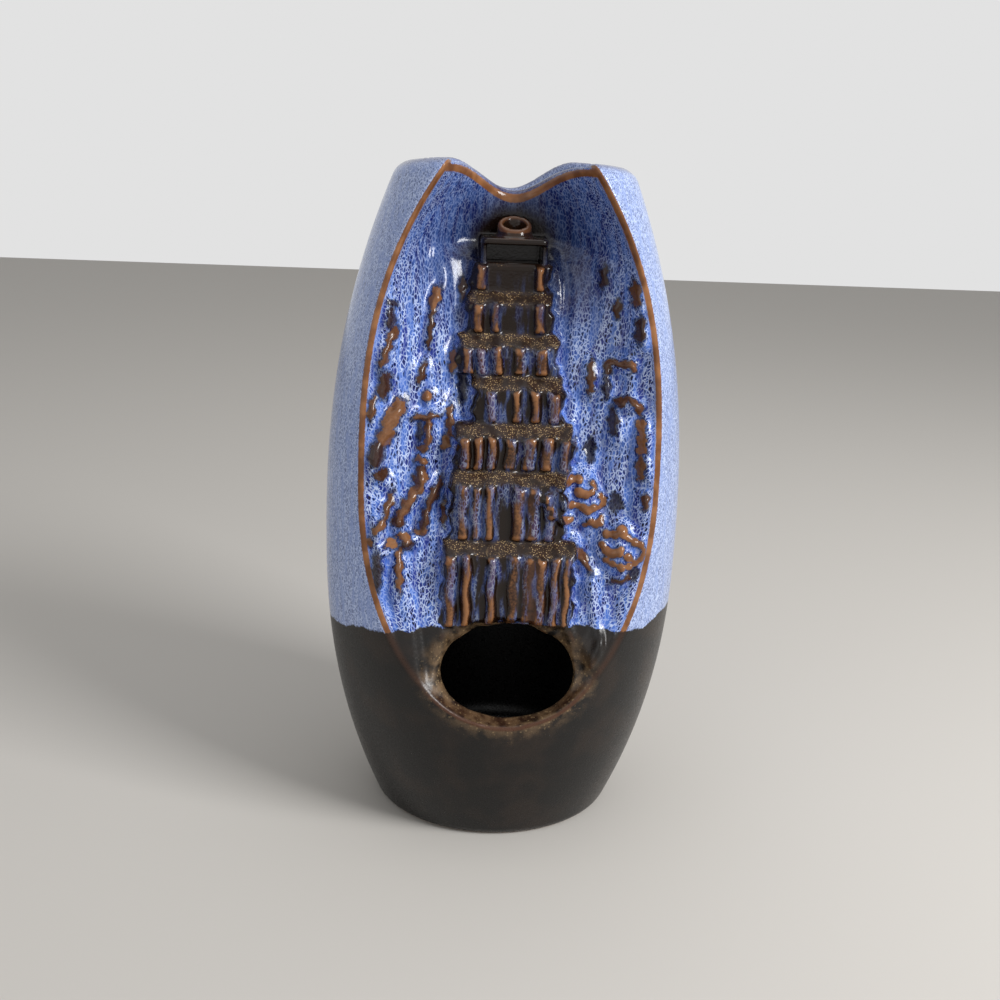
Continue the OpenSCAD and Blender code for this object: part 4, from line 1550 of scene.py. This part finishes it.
@dataclass(frozen=True)
class BurnerGlaze:
    """The whole glaze of the burner: blue above, black below, brown where it breaks and dark on the falls."""

    name: str = "burner_glaze"
    rutile: RutileFlow = RutileFlow()
    brown: Colour = srgb(150, 102, 64)
    brown_middle: Colour = srgb(116, 74, 44)
    brown_deep: Colour = srgb(76, 46, 29)
    crag: Colour = srgb(27, 18, 15)
    falls: Colour = srgb(26, 15, 9)
    tread: Colour = srgb(56, 36, 23)
    fleck: Colour = srgb(206, 176, 128)
    bronze: Colour = srgb(112, 90, 66)
    black: Colour = srgb(17, 15, 14)
    black_warm: Colour = srgb(34, 26, 21)
    bare: Colour = srgb(168, 138, 108)
    shine: float = 0.36
    patch_scale: float = 0.3
    grain_scale: float = 1.5
    soft_scale: float = 0.22
    drip_scale: float = 0.16
    drip_h: float = 3.0
    drip_edge: float = 1.2
    line_soft: float = 0.25
    rough_bare: float = 0.8
    rough_tread: float = 0.34
    bump_share: float = 0.5
    bump_depth: float = 0.00008
    falls_edge: Limits = (0.35, 0.65)
    under_z: Limits = (0.5, 0.2)
    rough_black: Limits = (0.3, 0.7, 0.26, 0.38)
    rough_blue: Limits = (0.3, 0.7, 0.12, 0.2)
    fine_outside: float = 1.35
    pooled: Limits = (0.08, 0.4, 0.0, 0.9)
    tan_edge: Limits = (0.36, 0.66)
    tone_stops: Limits = (0.05, 0.5, 1.0)
    tone_ragged: float = 0.3
    break_ragged: float = 1.1
    # dark ring round each break: partly thick dark glaze, partly painted shadow
    break_rim: Limits = (-0.95, -0.2)
    break_rim_share: float = 0.75
    break_edge: Limits = (-0.14, 0.2)
    break_cover: Limits = (0.05, 0.35, 0.62, 1.0)
    lobe_ragged: float = 0.25
    lobe_shade: Limits = (0.1, 0.5)
    lobe_shade_share: float = 0.7
    lobe_top: Limits = (0.62, 0.82)
    crest_share: float = 0.5
    ridge_ragged: float = 0.3
    ridge_edge: Limits = (0.35, 0.6)
    ridge_low: float = 0.4
    rib_ragged: float = 0.6
    rib_edge: Limits = (0.35, 0.95)
    rib_patches: Limits = (0.3, 0.55, 0.4, 1.0)
    rib_share: float = 0.9
    streak_draw: tuple[float, float, float] = (1.0, 1.0, 0.22)
    streak_scale: float = 0.45
    veil_edge: Limits = (0.46, 0.64)
    veil_share: float = 0.36
    # brown on the ribs' edges: partly glaze breaking thin, partly painted highlight
    lit_edge: Limits = (0.35, 0.9)
    lit_ribs: Limits = (0.2, 0.6)
    lit_streaks: Limits = (0.58, 0.42, 0.15, 0.85)
    tread_patches: Limits = (0.35, 0.65, 0.2, 0.9)
    fleck_scale: float = 2.3
    fleck_edge: Limits = (0.34, 0.2)
    fleck_treads: Limits = (0.3, 0.8)
    fleck_patches: Limits = (0.36, 0.6)
    mound_edge: Limits = (0.15, 0.6, 0.1, 0.75)
    warm_scale: float = 0.08
    warm_edge: Limits = (0.42, 0.68)
    haze_edge: Limits = (0.32, 0.66)
    lip_scale: float = 1.1
    lip_grain: Limits = (0.45, 0.6, 0.0, 0.4)
    lip_thin: Limits = (0.3, 0.7)

    def material(self) -> bpy.types.Material:
        """Builds the material.

        Returns:
            The finished material.
        """
        made = bpy.data.materials.new(self.name)
        made.use_nodes = True
        made.node_tree.nodes.clear()
        w = Weave(made.node_tree)
        place = w.scaled(w.node("ShaderNodeTexCoord").outputs["Object"], (1.0 / MM,) * 3)
        patch = w.cloud(place, self.patch_scale)
        grain = w.cloud(place, self.grain_scale)

        blue = self.blue(w, place)
        upper = self.broken(w, blue, w.cloud(place, self.soft_scale), grain)
        # the falls' dark colour, also laid round the ledge as painted shade
        falls = w.most(w.span(w.value("falls"), *self.falls_edge), w.value("seat"))
        upper = w.blend(falls, upper, self.cascade(w, place, blue, patch, grain))

        drips = w.swing(w.cloud(place, self.drip_scale, 1.0), self.drip_h)
        drips = w.plus(drips, w.swing(grain, self.drip_edge))
        above = w.span(w.plus(w.value("above"), drips), -self.line_soft, self.line_soft)
        colour = w.blend(above, self.foot(w, place, grain), upper)
        # painted shade: the hollow's inside turns black
        colour = w.blend(w.value("inside"), colour, self.black)
        under = w.span(w.node("ShaderNodeSeparateXYZ", {0: place}).outputs[2], *self.under_z)

        rough = w.between(above, w.span(grain, *self.rough_black), w.span(patch, *self.rough_blue))
        rough = w.most(rough, w.times(w.value("treads"), self.rough_tread))
        bump = {"Strength": self.bump_share, "Distance": self.bump_depth, "Height": grain}
        shader = w.node("ShaderNodeBsdfPrincipled", {
            "Base Color": w.blend(under, colour, self.bare),
            "Roughness": w.most(rough, w.times(under, self.rough_bare)),
            "Specular IOR Level": self.shine,
            "Normal": w.node("ShaderNodeBump", bump).outputs[0],
        })
        w.node("ShaderNodeOutputMaterial", {0: shader.outputs[0]})
        return made

    def blue(self, w: Weave, place: object) -> bpy.types.NodeSocket:
        """Lays the variegated blue, finer and more even outside the recess.

        Args:
            w: The material's nodes.
            place: Position in millimetres.

        Returns:
            The colour.
        """
        recess, deep_blue_and_shade = w.value("recess"), w.value("deep_blue_and_shade")
        flow = w.node("ShaderNodeGroup", node_tree=self.rutile.group())
        takes = {
            "Position": place,
            "Fineness": w.span(recess, 0.0, 1.0, self.fine_outside, 1.0),
            "Slant": w.value("slant"),
            "Evenness": w.fade(recess, 0.0),
            # the painted shade round the head of the falls also counts as pooled glaze
            "Pooling": w.most(w.span(w.value("concave"), *self.pooled), deep_blue_and_shade),
            "Deep blue and shade": deep_blue_and_shade,
        }
        for name, source in takes.items():
            w.join(source, flow.inputs[name])
        return flow.outputs["Colour"]

    def broken(self, w: Weave, blue: object, soft: object, grain: object) -> bpy.types.NodeSocket:
        """Breaks the blue to brown on the ridge, the rim, the rocks and the pines.

        Args:
            w: The material's nodes.
            blue: The colour that is broken.
            soft: A slow noise.
            grain: A fine noise.

        Returns:
            The colour.
        """
        ragged = w.math("SUBTRACT", grain, 0.5)
        tan = w.blend(w.span(soft, *self.tan_edge), self.brown_middle, self.brown)
        stops = tuple(zip(self.tone_stops, (self.crag, self.brown_deep, self.brown)))
        stone = w.ramp(w.plus(w.value("tone"), w.times(ragged, self.tone_ragged)), stops)
        inside = w.plus(w.value("breaks"), w.times(ragged, self.break_ragged))
        # dark ring round each break: partly thick dark glaze, partly painted shadow
        shade = w.times(w.span(inside, *self.break_rim), self.break_rim_share)
        colour = w.blend(shade, blue, self.rutile.dark)
        cover = w.times(w.span(inside, *self.break_edge), w.span(w.value("tone"), *self.break_cover))
        colour = w.blend(cover, colour, stone)
        lobe = w.plus(w.value("puffs"), w.times(ragged, self.lobe_ragged))
        shade = w.times(w.span(lobe, *self.lobe_shade), self.lobe_shade_share)
        colour = w.blend(shade, colour, self.rutile.dark)
        colour = w.blend(w.span(lobe, *self.lobe_top), colour, tan)
        colour = w.blend(w.times(w.value("crest"), self.crest_share), colour, self.brown_deep)
        band = w.plus(w.value("ridge"), w.times(ragged, self.ridge_ragged))
        return w.blend(w.span(band, *self.ridge_edge), colour, tan)

    def cascade(
        self, w: Weave, place: object, blue: object, patch: object, grain: object
    ) -> bpy.types.NodeSocket:
        """Darkens the falls, with brown ribs, blue between some of them and bronze flecks on the treads.

        Args:
            w: The material's nodes.
            place: Position in millimetres.
            blue: The variegated blue.
            patch: A noise of patches.
            grain: A fine noise.

        Returns:
            The colour.
        """
        treads, ribs, bend = w.value("treads"), w.value("ribs"), w.value("convex")
        ragged = w.swing(grain, self.rib_ragged)
        rib = w.times(w.span(w.plus(ribs, ragged), *self.rib_edge), w.span(patch, *self.rib_patches))
        colour = w.blend(w.times(rib, self.rib_share), self.falls, self.brown_deep)
        streaks = w.cloud(w.scaled(place, self.streak_draw), self.streak_scale)
        # no blue veil on the treads or in the painted shade round the ledge
        open_face = w.math("SUBTRACT", 1.0, w.most(treads, w.value("seat")), clamped=True)
        veil = w.times(w.times(w.span(streaks, *self.veil_edge), open_face), self.veil_share)
        colour = w.blend(veil, colour, blue)
        # brown on the ribs' edges: partly glaze breaking thin, partly painted highlight
        edge = w.times(w.span(w.plus(bend, ragged), *self.lit_edge), w.span(ribs, *self.lit_ribs))
        colour = w.blend(w.times(edge, w.span(streaks, *self.lit_streaks)), colour, self.brown)
        colour = w.blend(w.times(treads, w.span(patch, *self.tread_patches)), colour, self.tread)
        dots = w.span(w.cells(place, self.fleck_scale), *self.fleck_edge)
        spark = w.times(dots, w.span(treads, *self.fleck_treads))
        colour = w.blend(w.times(spark, w.span(patch, *self.fleck_patches)), colour, self.fleck)
        mound = w.times(w.value("mound"), w.span(bend, *self.mound_edge))
        return w.blend(mound, colour, self.brown_middle)

    def foot(self, w: Weave, place: object, grain: object) -> bpy.types.NodeSocket:
        """Lays the black satin glaze of the lower part, bronze round the large hole.

        Args:
            w: The material's nodes.
            place: Position in millimetres.
            grain: A fine noise.

        Returns:
            The colour.
        """
        lip = w.value("lip")
        warm = w.span(w.cloud(place, self.warm_scale, 3.0), *self.warm_edge)
        base = w.blend(warm, self.black, self.black_warm)
        haze = w.times(lip, w.span(w.cloud(place, self.patch_scale), *self.haze_edge))
        base = w.blend(haze, base, self.bronze)
        dots = w.times(w.span(w.cells(place, self.lip_scale), *self.fleck_edge), lip)
        base = w.blend(w.times(dots, w.span(grain, *self.lip_grain)), base, self.fleck)
        thin = w.times(w.span(w.value("convex"), *self.lip_thin), lip)
        return w.blend(w.most(thin, w.times(w.value("ridge"), self.ridge_low)), base, self.brown_deep)


@dataclass(frozen=True)
class Lamp:
    """One soft square light: its place in metres, its width in metres and its power in watts."""

    name: str
    place: tuple[float, float, float]
    size: float
    power: float


@dataclass(frozen=True)
class Studio:
    """Plain pale floor and background, soft lights, and the camera at the photograph's viewing angle."""

    floor_size: float = 3.0
    floor_colour: Colour = srgb(206, 202, 196)
    floor_rough: float = 0.8
    lens: float = 39.06
    azimuth: float = -4.0
    pitch: float = 17.8
    roll: float = 2.4
    away: float = 0.305
    height: float = 0.192
    shift_x: float = -0.0025
    sensor: float = 36.0
    nearest: float = 0.01
    farthest: float = 20.0
    backdrop: float = 0.76
    world_light: float = 0.36
    aim_z: float = 0.1
    lamps: tuple[Lamp, ...] = (
        Lamp("key", (0.58, -0.40, 0.55), 0.3, 6.4),
        Lamp("fill", (-0.6, -0.5, 0.4), 0.6, 0.6),
        Lamp("top", (0.0, 0.1, 0.9), 0.7, 1.0),
    )

    def build(self) -> None:
        """Makes the floor, the world, the lights and the camera."""
        self.floor()
        self.world()
        for lamp in self.lamps:
            self.light(lamp)
        self.camera()

    def floor(self) -> None:
        """Makes the floor."""
        mesh = bpy.data.meshes.new("floor")
        h = self.floor_size / 2
        mesh.from_pydata([(-h, -h, 0), (h, -h, 0), (h, h, 0), (-h, h, 0)], [], [(0, 1, 2, 3)])
        made = bpy.data.materials.new("floor")
        made.use_nodes = True
        shader = made.node_tree.nodes["Principled BSDF"]
        shader.inputs["Base Color"].default_value = self.floor_colour
        shader.inputs["Roughness"].default_value = self.floor_rough
        mesh.materials.append(made)
        placed("floor", mesh)

    def world(self) -> None:
        """Sets the even light and the pale background."""
        world = bpy.data.worlds.new("studio")
        bpy.context.scene.world = world
        world.use_nodes = True
        world.node_tree.nodes.clear()
        w = Weave(world.node_tree)
        grey = (self.backdrop, self.backdrop, self.backdrop, 1.0)
        seen = w.node("ShaderNodeBackground", {"Color": grey})
        lit = w.node("ShaderNodeBackground", {"Color": (1.0, 1.0, 1.0, 1.0), "Strength": self.world_light})
        rays = w.node("ShaderNodeLightPath").outputs
        share = w.most(w.most(rays["Is Camera Ray"], rays["Is Transmission Ray"]), rays["Is Glossy Ray"])
        pick = w.node("ShaderNodeMixShader", {0: share, 1: lit.outputs[0], 2: seen.outputs[0]})
        w.node("ShaderNodeOutputWorld", {0: pick.outputs[0]})

    def light(self, lamp: Lamp) -> None:
        """Adds a light that faces the vase.

        Args:
            lamp: The light's sizes.
        """
        data = bpy.data.lights.new(lamp.name, "AREA")
        data.size, data.energy = lamp.size, lamp.power
        made = placed(lamp.name, data)
        made.location = lamp.place
        made.rotation_mode = "QUATERNION"
        made.rotation_quaternion = (Vector((0, 0, self.aim_z)) - Vector(lamp.place)).to_track_quat("-Z", "Y")

    def camera(self) -> None:
        """Adds the camera and makes it the scene's."""
        a, p, r = (math.radians(v) for v in (self.azimuth, self.pitch, self.roll))
        ahead = Vector((-math.sin(a) * math.cos(p), math.cos(a) * math.cos(p), -math.sin(p)))
        right = Vector((math.cos(a), math.sin(a), 0.0))
        up = right.cross(ahead)
        turned = right * math.cos(r) + up * math.sin(r)
        upright = up * math.cos(r) - right * math.sin(r)
        data = bpy.data.cameras.new("camera")
        data.lens, data.sensor_width, data.sensor_fit = self.lens, self.sensor, "HORIZONTAL"
        data.shift_x = self.shift_x
        data.clip_start, data.clip_end = self.nearest, self.farthest
        camera = placed("camera", data)
        place = Vector((self.away * math.sin(a), -self.away * math.cos(a), self.height))
        turn = Matrix((turned, upright, -ahead)).transposed().to_4x4()
        camera.matrix_world = Matrix.Translation(place) @ turn
        bpy.context.scene.camera = camera


def main() -> None:
    """Builds the burner and its studio."""
    logging.basicConfig(level=logging.INFO, format="%(message)s")
    outline, hollow, seat, pool = Outline(), Hollow(), ConeSeat(), Pool()
    carving = Carving(outline, hollow, seat, pool)
    clay = Clay(outline, hollow, seat, pool, carving)
    body = VaseBody(clay).build()
    body.data.materials.append(BurnerGlaze().material())
    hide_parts("burner_body")
    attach(body, "root")
    log.info("glazed %s", body.name)
    Studio().build()
    bpy.context.scene.view_settings.view_transform = "Standard"


if __name__ == "__main__":
    main()
